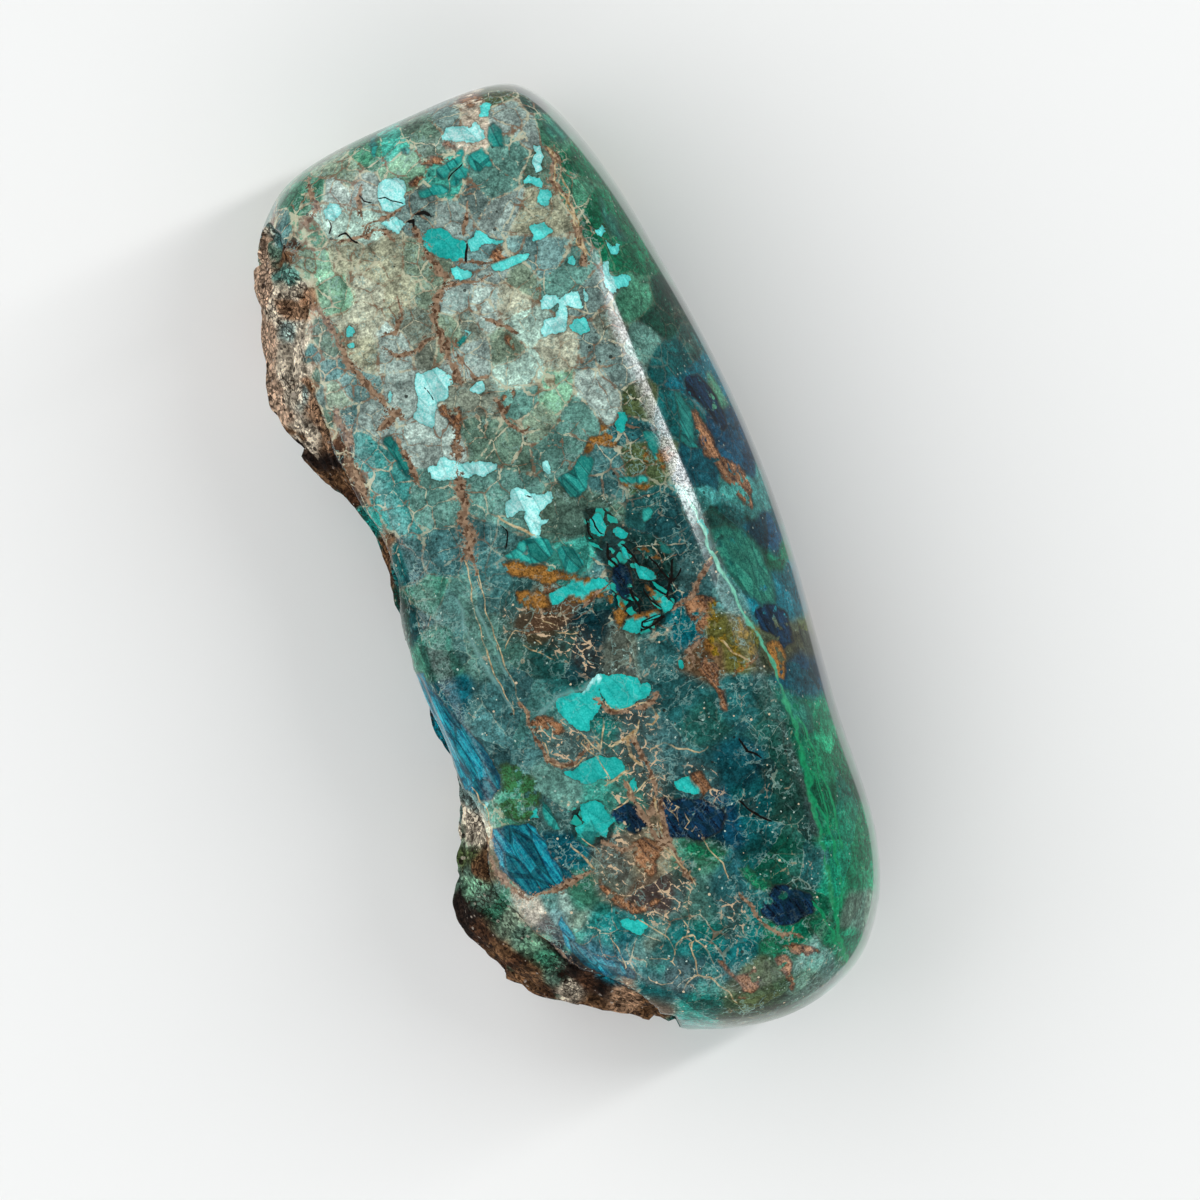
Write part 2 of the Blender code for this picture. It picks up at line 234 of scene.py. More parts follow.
PALE_CHIPS = [
    [(415, 372), (421, 374), (429, 371), (437, 368), (443, 372), (450, 375), (452, 382), (447, 385),
     (447, 397), (443, 401), (438, 406), (434, 414), (432, 428), (425, 426), (418, 422), (413, 416),
     (418, 410), (418, 400), (415, 391), (416, 381)],
    [(504, 511), (506, 503), (510, 499), (511, 490), (519, 486), (527, 491), (533, 493), (538, 497),
     (546, 492), (552, 492), (553, 503), (547, 506), (540, 512), (538, 516), (544, 520), (551, 518),
     (549, 522), (543, 526), (540, 536), (532, 536), (527, 527), (524, 518), (526, 511), (518, 513),
     (514, 516), (508, 516)],
    [(427, 466), (436, 466), (441, 460), (447, 458), (456, 460), (461, 463), (472, 463), (480, 461),
     (490, 460), (498, 463), (494, 469), (487, 472), (484, 477), (474, 474), (470, 478), (462, 477),
     (455, 480), (443, 480), (431, 480), (430, 474), (426, 472)],
    [(441, 134), (447, 128), (460, 127), (468, 128), (476, 123), (483, 130), (486, 137), (480, 141),
     (470, 141), (458, 144), (450, 141), (443, 139)],
    [(379, 182), (386, 177), (396, 176), (403, 180), (407, 190), (404, 197), (405, 204), (396, 211),
     (384, 212), (379, 203), (378, 193)],
    [(381, 222), (396, 216), (404, 224), (398, 234), (388, 230)],
    [(541, 299), (546, 295), (556, 295), (561, 298), (555, 305), (552, 309), (543, 309)],
    [(557, 302), (563, 296), (570, 292), (578, 292), (581, 299), (583, 307), (574, 308), (568, 306),
     (560, 307)],
    [(541, 330), (545, 320), (556, 317), (560, 307), (567, 307), (567, 330), (560, 333), (550, 333),
     (543, 336)],
    [(584, 287), (588, 294), (586, 301), (584, 299)],
    [(601, 264), (606, 263), (610, 276), (616, 278), (618, 290), (612, 292), (606, 287), (604, 274)],
    [(470, 388), (476, 382), (483, 381), (486, 387), (483, 396), (476, 394), (470, 391)],
    [(465, 329), (472, 330), (468, 334)],
    [(386, 394), (389, 391), (392, 396), (391, 403), (387, 403)],
    [(541, 463), (547, 461), (550, 467), (551, 473), (546, 474), (542, 470)],
    [(533, 146), (540, 145), (541, 150), (545, 157), (541, 163), (541, 170), (537, 171), (533, 160),
     (536, 153)],
    [(322, 212), (330, 203), (338, 205), (340, 212), (334, 220), (324, 219)],
    [(598, 674), (605, 676), (604, 682), (592, 688), (584, 694), (580, 693)],
    [(484, 802), (489, 804), (486, 810), (482, 808)],
]
SKY_CHIPS = [
    [(466, 240), (474, 236), (479, 230), (486, 234), (493, 239), (503, 241), (497, 244), (489, 244),
     (482, 243), (478, 249), (470, 250), (470, 254), (468, 246), (465, 243)],
    [(492, 264), (497, 262), (504, 261), (514, 257), (522, 254), (531, 253), (528, 259), (521, 265),
     (510, 267), (500, 272), (494, 271)],
    [(530, 229), (536, 224), (543, 223), (548, 226), (551, 228), (555, 232), (545, 235), (538, 240),
     (532, 242), (532, 235)],
    [(524, 180), (530, 176), (540, 177), (544, 182), (544, 186), (534, 184), (526, 184)],
    [(541, 187), (549, 188), (551, 193), (549, 203), (544, 206), (535, 200), (537, 195)],
    [(593, 228), (601, 227), (602, 224), (607, 232), (602, 236), (597, 234)],
    [(608, 240), (613, 246), (621, 246), (618, 253), (612, 254)],
    [(568, 257), (574, 255), (576, 261), (575, 266), (567, 264)],
    [(452, 270), (458, 266), (465, 270), (471, 272), (467, 277), (461, 280), (455, 278)],
    [(478, 117), (480, 108), (485, 103), (493, 104), (488, 110), (487, 118)],
    [(570, 324), (576, 318), (586, 318), (589, 325), (588, 332), (580, 333), (572, 330)],
    [(612, 277), (620, 275), (627, 277), (631, 281), (626, 286), (619, 290), (614, 284)],
    [(347, 330), (351, 326), (354, 331), (351, 336), (347, 336)],
    [(347, 343), (353, 342), (356, 347), (352, 349), (347, 348)],
]
TURQUOISE_CHIPS = [
    [(421, 240), (428, 231), (440, 227), (450, 232), (456, 240), (463, 243), (466, 250), (465, 258),
     (458, 262), (446, 258), (438, 256), (428, 250), (422, 246)],
    [(618, 412), (624, 412), (628, 420), (624, 431), (620, 434), (613, 425), (618, 420)],
    [(600, 674), (606, 676), (618, 674), (634, 676), (640, 684), (648, 683), (651, 690), (647, 697),
     (640, 699), (634, 706), (622, 710), (612, 708), (605, 702), (601, 692), (601, 682)],
    [(562, 697), (572, 693), (582, 692), (592, 684), (600, 678), (601, 692), (601, 705), (594, 715),
     (588, 722), (589, 731), (578, 730), (570, 725), (562, 716), (557, 708), (558, 700)],
    [(562, 772), (572, 770), (580, 763), (590, 758), (600, 755), (608, 760), (614, 756), (622, 762),
     (626, 768), (620, 774), (608, 779), (596, 782), (582, 784), (570, 778)],
    [(674, 780), (684, 777), (694, 778), (697, 785), (703, 790), (701, 795), (692, 794), (684, 792),
     (676, 788)],
    [(580, 805), (590, 801), (603, 802), (607, 810), (612, 816), (616, 820), (608, 826), (606, 836),
     (596, 832), (588, 826), (580, 818)],
    [(618, 920), (625, 917), (636, 919), (642, 918), (647, 926), (644, 933), (640, 934), (630, 932),
     (620, 926)],
    [(676, 662), (680, 660), (685, 664), (684, 669), (679, 669)],
    [(614, 530), (618, 526), (622, 529), (627, 533), (628, 538), (622, 541), (616, 536)],
    [(590, 520), (594, 514), (600, 513), (602, 522), (607, 528), (605, 536), (597, 536), (590, 530)],
    [(661, 596), (668, 598), (674, 604), (672, 609), (664, 614), (661, 606)],
    [(622, 630), (628, 620), (634, 616), (648, 618), (658, 612), (662, 616), (650, 624), (641, 632),
     (636, 634), (628, 632)],
    [(632, 560), (640, 566), (650, 570), (658, 578), (650, 580), (641, 580), (638, 574), (636, 566)],
    [(532, 808), (537, 806), (538, 816), (530, 818)],
    # This chip at the start of the malachite line is a painted highlight
    [(698, 519), (704, 518), (708, 530), (704, 536)],
    [(549, 594), (556, 590), (566, 588), (574, 581), (586, 579), (598, 577), (608, 580), (612, 590),
     (606, 589), (596, 591), (586, 598), (576, 596), (566, 598), (560, 604), (552, 606)],
    [(628, 782), (636, 778), (637, 790), (629, 791)],
    [(620, 548), (625, 547), (628, 560), (621, 560)],
    [(575, 826), (584, 822), (590, 834), (582, 840)],
]
TEAL_CHIPS = [
    [(560, 478), (568, 472), (576, 462), (580, 456), (592, 457), (591, 468), (587, 480), (585, 490),
     (577, 497), (570, 495), (564, 488), (557, 482)],
    [(618, 478), (626, 476), (636, 476), (647, 473), (650, 478), (643, 483), (632, 483), (622, 482)],
    [(641, 430), (650, 432), (660, 430), (659, 445), (658, 462), (652, 452), (645, 442)],
    [(505, 558), (512, 550), (520, 543), (529, 537), (538, 536), (548, 542), (554, 552), (548, 560),
     (538, 562), (520, 562)],
    [(470, 154), (483, 148), (488, 158), (493, 167), (484, 168), (480, 175), (474, 172), (469, 163)],
    [(488, 127), (493, 124), (502, 129), (504, 137), (504, 146), (492, 147), (488, 138)],
    [(455, 170), (464, 168), (470, 173), (466, 178), (456, 177)],
    [(438, 168), (446, 160), (456, 154), (462, 148), (466, 153), (462, 162), (450, 172), (445, 178),
     (438, 176)],
    [(450, 182), (456, 174), (463, 168), (470, 172), (468, 178), (462, 180), (455, 186), (450, 186)],
    [(426, 190), (432, 184), (444, 183), (450, 190), (440, 194), (428, 196)],
    [(418, 190), (428, 188), (432, 192), (430, 197), (420, 197)],
    [(402, 149), (408, 147), (412, 149), (409, 154), (403, 154)],
    [(371, 136), (377, 134), (376, 145), (374, 158), (370, 150)],
    [(641, 512), (648, 505), (656, 508), (652, 516), (644, 522)],
    [(660, 543), (668, 545), (674, 550), (668, 553), (662, 551)],
    [(676, 392), (684, 398), (690, 410), (692, 424), (694, 440), (700, 448), (690, 446), (682, 440),
     (681, 424), (678, 408)],
    [(384, 437), (388, 435), (396, 441), (404, 452), (409, 464), (413, 478), (407, 478), (399, 470),
     (391, 455), (385, 444)],
    [(458, 338), (464, 334), (468, 337), (461, 345), (456, 349), (452, 347)],
    [(556, 550), (564, 546), (574, 550), (580, 558), (584, 566), (576, 574), (566, 572), (560, 564)],
    [(576, 838), (584, 822), (592, 812), (600, 820), (598, 834), (588, 846)],
    [(540, 800), (548, 806), (556, 818), (560, 830), (552, 830), (544, 820)],
]
BLUE_FIBRES = [
    [(416, 672), (424, 676), (432, 690), (446, 706), (460, 722), (472, 733), (486, 750), (494, 764),
     (500, 776), (503, 786), (498, 792), (492, 801), (482, 800), (470, 795), (462, 782), (450, 768),
     (436, 750), (424, 735), (412, 722), (404, 708), (404, 690)],
    [(492, 830), (505, 826), (520, 824), (534, 825), (542, 836), (548, 852), (556, 862), (566, 872),
     (580, 880), (560, 884), (548, 888), (536, 893), (528, 895), (520, 888), (510, 878), (500, 868),
     (495, 852), (492, 840)],
    [(561, 917), (570, 930), (580, 944), (592, 952), (606, 960), (622, 962), (634, 970), (634, 980),
     (622, 975), (606, 974), (590, 970), (580, 962), (572, 952), (564, 940), (558, 926)],
]
GREEN_FIBRES = [
    [(708, 530), (724, 524), (744, 530), (760, 548), (772, 580), (776, 602), (762, 604), (744, 592),
     (730, 574), (716, 552)],
    [(774, 692), (790, 690), (806, 706), (813, 730), (806, 736), (794, 722), (784, 706)],
    [(540, 112), (556, 120), (570, 136), (562, 144), (548, 134)],
    [(600, 200), (616, 220), (626, 240), (616, 242), (604, 222)],
]
NAVY_PATCHES = [
    [(760, 905), (768, 893), (776, 884), (786, 883), (798, 889), (808, 894), (816, 904), (812, 914),
     (800, 920), (788, 926), (776, 925), (764, 916)],
    [(612, 568), (618, 562), (628, 566), (632, 576), (633, 590), (626, 600), (618, 594), (612, 582)],
    [(660, 798), (680, 799), (700, 800), (718, 804), (726, 814), (722, 828), (712, 836), (700, 842),
     (684, 838), (668, 838), (660, 826)],
    [(612, 812), (618, 803), (630, 802), (640, 810), (647, 822), (645, 832), (636, 834), (622, 826),
     (614, 820)],
    [(690, 372), (704, 382), (716, 394), (724, 410), (728, 428), (722, 430), (712, 418), (700, 404),
     (688, 394), (684, 380)],
    [(752, 614), (764, 604), (776, 602), (788, 618), (794, 642), (786, 648), (774, 636), (760, 630)],
]
OCHRE_PATCHES = [
    [(502, 564), (514, 562), (528, 566), (540, 564), (556, 570), (570, 574), (584, 578), (592, 574),
     (590, 582), (576, 582), (560, 580), (548, 586), (540, 582), (526, 578), (512, 576), (504, 570)],
    [(598, 418), (602, 424), (612, 432), (620, 438), (616, 448), (604, 448), (596, 446), (590, 454),
     (585, 452), (588, 440), (596, 436), (604, 434), (599, 426)],
    [(516, 592), (526, 589), (540, 590), (549, 598), (548, 608), (540, 612), (528, 610), (518, 604)],
    [(618, 480), (630, 484), (642, 484), (652, 482), (650, 486), (646, 492), (636, 490), (626, 486)],
    [(566, 592), (572, 594), (580, 598), (590, 592), (602, 590), (610, 594), (604, 598), (592, 598),
     (582, 604), (570, 602)],
    [(606, 590), (616, 596), (624, 602), (628, 614), (624, 622), (620, 630), (616, 622), (612, 610),
     (606, 600)],
    [(626, 620), (634, 614), (648, 612), (660, 609), (660, 614), (650, 618), (638, 620), (628, 622)],
    [(646, 584), (652, 588), (658, 596), (664, 604), (658, 602), (650, 596)],
    [(636, 548), (646, 548), (656, 554), (662, 558), (652, 558), (644, 552)],
    [(768, 642), (776, 640), (784, 644), (788, 654), (786, 668), (784, 680), (776, 676), (770, 664),
     (768, 652)],
    [(704, 636), (714, 640), (718, 650), (710, 656), (702, 648)],
    [(732, 670), (740, 664), (748, 660), (758, 656), (752, 664), (742, 672), (734, 678)],
    [(642, 446), (650, 452), (648, 462), (640, 460)],
    [(655, 452), (668, 448), (674, 456), (664, 470), (656, 464)],
]
COPPER_PATCHES = [
    [(690, 592), (702, 594), (714, 598), (718, 612), (716, 628), (706, 636), (694, 630), (688, 616),
     (686, 604)],
    [(694, 662), (702, 657), (718, 657), (722, 664), (720, 674), (724, 688), (727, 700), (727, 711),
     (722, 711), (720, 698), (714, 686), (704, 678), (700, 670)],
    [(716, 958), (724, 960), (730, 970), (738, 978), (748, 972), (756, 968), (757, 978), (760, 986),
     (754, 994), (744, 999), (738, 996), (742, 988), (736, 980), (726, 972)],
    [(776, 958), (786, 955), (792, 962), (790, 972), (796, 984), (794, 994), (790, 988), (784, 976),
     (778, 968)],
    [(782, 946), (792, 942), (804, 944), (818, 948), (820, 952), (806, 956), (792, 952)],
    [(600, 878), (606, 886), (616, 894), (628, 900), (640, 906), (652, 900), (660, 902), (648, 910),
     (634, 914), (620, 908), (608, 898), (600, 888)],
    [(632, 842), (646, 838), (660, 842), (664, 852), (656, 860), (658, 872), (648, 878), (638, 868),
     (634, 856)],
    [(454, 98), (464, 96), (474, 93), (483, 96), (484, 102), (476, 105), (464, 104), (456, 103)],
    [(488, 260), (494, 250), (500, 245), (505, 252), (510, 258), (502, 262), (492, 263)],
    [(420, 161), (430, 157), (445, 155), (455, 150), (447, 147), (443, 143), (450, 141), (455, 148),
     (456, 156), (446, 161), (432, 165), (421, 164)],
    [(497, 402), (503, 396), (512, 384), (514, 392), (511, 404), (508, 412), (500, 412), (498, 407)],
    [(503, 333), (509, 335), (513, 342), (514, 349), (508, 344), (504, 339)],
    [(439, 404), (446, 402), (456, 402), (461, 408), (462, 420), (460, 436), (462, 448), (456, 456),
     (452, 446), (452, 430), (446, 420), (440, 414)],
    [(430, 306), (437, 302), (441, 308), (440, 318), (432, 318)],
    [(530, 722), (540, 714), (552, 718), (562, 724), (566, 732), (556, 738), (544, 736), (532, 730)],
    [(690, 412), (698, 412), (704, 424), (712, 436), (718, 448), (724, 458), (738, 464), (746, 474),
     (752, 486), (752, 502), (750, 509), (742, 502), (732, 488), (722, 476), (716, 464), (706, 456),
     (702, 446), (697, 432), (693, 420)],
    [(690, 776), (700, 772), (708, 782), (712, 794), (704, 800), (698, 792)],
    [(408, 184), (416, 178), (424, 176), (427, 182), (420, 188), (410, 188)],
]
GOLD_WEBS = [
    [(700, 600), (722, 604), (744, 622), (756, 640), (756, 654), (742, 664), (726, 676), (714, 664),
     (706, 640), (698, 620)],
]
MOSS_PATCHES = [
    [(496, 768), (506, 762), (520, 764), (532, 772), (540, 784), (540, 800), (534, 816), (522, 822),
     (508, 818), (496, 808), (500, 796), (504, 784)],
]
EMERALD_PATCHES = [
    [(682, 844), (694, 842), (704, 850), (712, 848), (724, 852), (728, 862), (716, 864), (700, 860),
     (688, 858)],
    [(740, 866), (746, 858), (752, 868), (764, 876), (772, 884), (764, 894), (752, 884), (744, 876)],
    [(760, 942), (772, 940), (782, 946), (780, 956), (766, 956), (758, 950)],
    [(806, 922), (820, 914), (832, 922), (840, 938), (850, 960), (842, 966), (832, 950), (818, 940)],
]
# Each run of crystals that fills a crack: its points along the photograph and half its width there
BROWN_VEINS = [
    ([(414, 230), (424, 247), (431, 261), (446, 278), (440, 292), (436, 306), (434, 319), (441, 335),
      (441, 351)], 3.6),
    ([(440, 340), (446, 352), (452, 366), (456, 376)], 5.5),
    ([(459, 444), (458, 456)], 4.5),
    ([(459, 480), (463, 500), (466, 520), (470, 540), (468, 552)], 5.5),
    ([(470, 545), (472, 560), (476, 572)], 3.0),
    ([(318, 312), (330, 326), (338, 340), (344, 354), (354, 368), (366, 382), (377, 396), (386, 408),
      (400, 416)], 3.8),
    ([(548, 148), (556, 160), (552, 178), (562, 192), (572, 206), (576, 222), (578, 238), (584, 250),
      (586, 264)], 3.6),
    ([(468, 205), (466, 218), (464, 234)], 2.0),
    ([(341, 243), (352, 240), (362, 236), (366, 226), (374, 220), (390, 217), (400, 210)], 2.2),
    ([(366, 238), (374, 231), (384, 231), (392, 238)], 2.2),
    ([(361, 215), (358, 200), (362, 188)], 2.4),
    ([(462, 262), (476, 264), (490, 262)], 2.4),
    ([(448, 286), (462, 282), (476, 280), (490, 276)], 2.0),
    ([(485, 320), (497, 326), (508, 328), (516, 333)], 1.8),
    ([(455, 340), (458, 352), (466, 366), (476, 378), (486, 378)], 1.8),
    ([(497, 400), (503, 414), (512, 424), (522, 431), (528, 428)], 2.0),
    ([(386, 350), (398, 356), (412, 352), (424, 344), (436, 336)], 2.4),
    ([(398, 300), (402, 316), (396, 332), (384, 336)], 2.0),
    ([(380, 428), (390, 420), (399, 413)], 3.0),
    ([(398, 440), (406, 455), (412, 470), (416, 480)], 2.5),
    ([(335, 412), (342, 428), (350, 440)], 3.0),
    ([(350, 430), (346, 450), (352, 470), (360, 485), (368, 500)], 3.2),
    ([(700, 640), (690, 650), (694, 662)], 3.0),
    ([(708, 562), (700, 580), (690, 596), (676, 608)], 2.6),
    ([(632, 735), (640, 750), (650, 768), (656, 790), (652, 812)], 3.0),
    ([(626, 784), (634, 800), (646, 820), (656, 836), (664, 846)], 2.6),
    ([(596, 700), (606, 708), (622, 713), (640, 709), (652, 700), (656, 694)], 2.2),
    ([(588, 872), (560, 888), (540, 893), (528, 899), (514, 890), (500, 876), (491, 860), (488, 840)],
     3.0),
    ([(740, 895), (750, 906), (758, 918), (770, 930), (785, 934), (800, 936)], 2.0),
    ([(590, 745), (575, 762), (560, 766), (552, 758)], 2.2),
    ([(520, 706), (528, 716), (530, 728), (538, 742), (548, 760)], 1.6),
    ([(584, 606), (600, 590), (612, 584)], 1.5),
    ([(308, 180), (312, 195), (316, 210), (306, 222)], 3.0),
    ([(505, 920), (530, 930), (556, 950), (575, 966)], 2.0),
    ([(604, 842), (620, 850), (634, 846)], 2.6),
    ([(660, 800), (664, 830), (676, 856), (690, 880)], 2.6),
]
# Threads of gold-coloured crystals
GOLD_THREADS = [
    ([(548, 146), (558, 160), (555, 178), (560, 194), (574, 208), (574, 224), (582, 238), (584, 252)], 0.9),
    ([(562, 176), (570, 192), (566, 206), (580, 222), (576, 240), (590, 256)], 0.8),
    ([(466, 560), (472, 600), (482, 640), (498, 680), (514, 712)], 0.6),
    ([(478, 572), (488, 616), (500, 652), (516, 690), (526, 716)], 0.6),
    ([(546, 757), (556, 764), (566, 768), (576, 764), (584, 758)], 0.7),
    ([(543, 744), (550, 756)], 0.7),
    ([(578, 740), (586, 748), (598, 758)], 0.7),
    ([(582, 734), (594, 746), (602, 753)], 0.7),
    ([(604, 720), (602, 738), (600, 754)], 0.8),
    ([(616, 744), (626, 737), (634, 730)], 1.7),
    ([(628, 738), (630, 754), (640, 766)], 1.4),
    ([(592, 752), (600, 764), (610, 776)], 0.6),
    ([(608, 783), (618, 776), (626, 771)], 1.2),
    ([(636, 790), (644, 784), (654, 778)], 0.7),
    ([(654, 800), (658, 815), (661, 828)], 0.9),
    ([(652, 750), (664, 743), (676, 748), (696, 752), (706, 748)], 0.8),
    ([(606, 704), (618, 711), (632, 708), (645, 702), (652, 706), (660, 716), (652, 725), (642, 722)], 0.8),
    ([(642, 720), (636, 728), (634, 740)], 0.7),
    ([(662, 802), (672, 812), (684, 826), (700, 838)], 0.4),
    ([(668, 798), (690, 820), (706, 840)], 0.4),
    ([(664, 846), (676, 858), (688, 872), (694, 884)], 0.6),
    ([(700, 838), (708, 850), (722, 862), (730, 880)], 0.6),
    ([(676, 942), (684, 935), (694, 938), (704, 944), (708, 956), (714, 964)], 0.7),
    ([(684, 920), (690, 932), (700, 940)], 0.5),
    ([(690, 946), (696, 960), (698, 974)], 0.7),
    ([(650, 960), (662, 958), (676, 964), (680, 974), (672, 984), (660, 986), (650, 980), (646, 970),
      (650, 960)], 0.4),
    ([(640, 920), (655, 930), (668, 936), (674, 952), (672, 962)], 0.6),
    ([(610, 938), (620, 952), (626, 966)], 0.5),
    ([(684, 990), (698, 975), (710, 976), (724, 990), (736, 1002)], 0.7),
    ([(572, 846), (584, 858), (592, 866)], 0.9),
    ([(584, 838), (596, 848), (604, 860)], 0.5),
    ([(500, 518), (512, 524), (524, 530), (532, 534)], 1.2),
    ([(506, 646), (516, 630), (530, 634), (540, 644)], 0.5),
    ([(524, 646), (540, 654), (556, 660)], 0.6),
    ([(540, 618), (552, 622), (560, 628)], 0.5),
    ([(560, 634), (570, 634), (578, 632)], 0.6),
    ([(466, 800), (462, 816), (470, 838), (488, 850), (493, 830), (484, 806), (472, 790)], 0.6),
    ([(616, 808), (632, 796), (628, 784)], 0.7),
    ([(720, 640), (734, 652), (748, 660)], 0.9),
    ([(706, 560), (716, 552)], 0.7),
]
DARK_CRACKS = [
    ([(379, 198), (385, 196), (392, 200), (402, 203)], 0.7),
    ([(360, 196), (364, 203), (371, 204)], 1.0),
    ([(340, 237), (346, 234), (352, 240), (358, 243)], 1.1),
    ([(329, 222), (332, 226), (330, 232)], 0.9),
    ([(448, 178), (456, 172), (462, 166)], 0.9),
    ([(465, 245), (466, 262)], 1.1),
    ([(408, 222), (412, 220), (413, 226)], 1.4),
    ([(418, 212), (424, 211), (428, 214)], 1.9),
    ([(672, 560), (669, 580), (667, 596)], 1.0),
    ([(592, 518), (594, 526), (600, 532), (606, 534)], 0.8),
    ([(586, 520), (588, 530), (594, 540)], 0.8),
    ([(608, 545), (610, 556), (616, 566)], 1.2),
    ([(622, 545), (634, 556), (640, 566)], 1.0),
    ([(630, 590), (636, 604), (640, 612)], 1.4),
    ([(644, 590), (650, 600), (660, 606)], 1.0),
    ([(640, 632), (650, 626), (664, 618)], 0.9),
    ([(425, 388), (429, 394), (433, 400)], 0.6),
    ([(526, 495), (530, 497)], 0.8),
    ([(740, 740), (748, 752), (760, 758)], 1.0),
    ([(740, 800), (752, 812), (770, 822)], 1.0),
    ([(650, 556), (660, 570), (671, 583), (680, 570)], 1.0),
    ([(640, 632), (643, 622), (660, 615)], 0.9),
    ([(500, 526), (508, 532), (506, 548)], 0.8),
]
MALACHITE_LINE = [
    ([(684, 492), (692, 506), (702, 524), (706, 540), (714, 558), (724, 576), (734, 596), (742, 612),
      (752, 624), (762, 642), (770, 658), (777, 676), (782, 692)], 1.6),
    ([(782, 692), (789, 708), (795, 726), (800, 746), (804, 764), (809, 782), (812, 800), (818, 824),
      (824, 848), (828, 872), (832, 900), (838, 930), (846, 960)], 2.6),
    ([(798, 716), (808, 736), (818, 762), (828, 790), (838, 822), (842, 850)], 1.1),
    ([(812, 800), (824, 816), (834, 842), (840, 876), (842, 906)], 1.3),
    ([(804, 764), (816, 776), (826, 806), (828, 832)], 1.0),
    ([(814, 904), (826, 922), (838, 944), (848, 962)], 1.4),
]
# Lines of silky sheen along the fibres, painted as pale streaks: painted sheen. Each has its points along the
# photograph and half its width there
SHEEN_STREAKS = [
    ([(458, 600), (462, 620), (470, 640), (480, 654), (490, 670), (500, 690), (510, 706)], 2.0),
    ([(478, 610), (484, 626), (492, 642), (502, 664), (512, 684)], 1.3),
    ([(540, 712), (552, 704), (562, 694), (578, 690), (594, 680)], 2.5),
]
# Where the stone is one dense net of fine tan crystals
TAN_NETS = [
    [(600, 740), (632, 728), (654, 744), (664, 770), (668, 800), (664, 840), (690, 880), (690, 920),
     (660, 925), (620, 915), (596, 880), (600, 850), (620, 830), (612, 800), (612, 780), (600, 770)],
    [(500, 606), (524, 612), (560, 616), (590, 634), (600, 660), (590, 676), (570, 660), (540, 640),
     (510, 636)],
    [(530, 716), (566, 720), (590, 735), (596, 752), (560, 766), (540, 740)],
    [(690, 760), (712, 768), (724, 800), (700, 800), (690, 780)],
    [(720, 900), (740, 900), (744, 930), (728, 940)],
    [(604, 700), (656, 700), (656, 735), (620, 730)],
]

# Where the right flank is clear green and blue, with few pale lines
CLEAR_BANDS = [
    [(536, 96), (580, 118), (640, 210), (700, 310), (764, 450), (800, 570), (850, 720), (884, 880),
     (876, 960), (846, 960), (822, 900), (806, 800), (784, 700), (748, 622), (716, 548), (690, 480),
     (656, 440), (640, 390), (622, 340), (612, 290), (600, 236), (576, 176), (548, 128)],
]
# Where angular bits of turquoise lie in black
MOSAICS = [
    [(584, 508), (606, 508), (622, 524), (640, 552), (664, 572), (678, 600), (664, 622), (638, 636),
     (620, 622), (612, 590), (604, 560), (586, 540)],
    [(570, 812), (600, 800), (616, 820), (608, 840), (590, 846), (572, 834)],
]
# Where the darker half is a mosaic of round grains too
GRAIN_PATCHES = [
    [(560, 884), (600, 920), (660, 915), (700, 900), (724, 930), (720, 985), (690, 1000), (640, 985),
     (600, 965), (566, 925)],
    [(560, 620), (520, 560), (600, 530), (680, 540), (700, 600), (660, 640)],
]

# Mineral tints as they show in daylight
TINTS = {
    "sage": "768B76", "dark_sage": "567262", "olive_beige": "999C83", "pale_beige": "A2A691",
    "olive_grey": "6F786A", "mint": "77A688", "pale_mint": "AFCFC0", "grey": "8B9E97",
    "dark_grey": "627873", "blue_grey": "698C89", "pale_grey": "A1B5AC", "green": "3D7A60",
    "emerald": "005E40", "dark_green": "033428", "teal": "19766D", "pale_teal": "3E8A85",
    "deep_teal": "085252", "slate_teal": "416C6B", "grey_teal": "5B887D", "dark_teal": "225457",
    "ink": "083C44", "sea_blue": "035E6B", "deep_blue": "03344C", "malachite": "0E8058", "olive_yellow": "4E4818",
    "brown": "61462F", "dark_brown": "402A1C", "pink_brown": "A88E78", "taupe": "BCB09C",
    "sea_green": "44AA98", "clay": "94745A", "forest": "1E4740", "tan": "8E8468", "moss": "424F30", "black_brown": "1E1612",
}
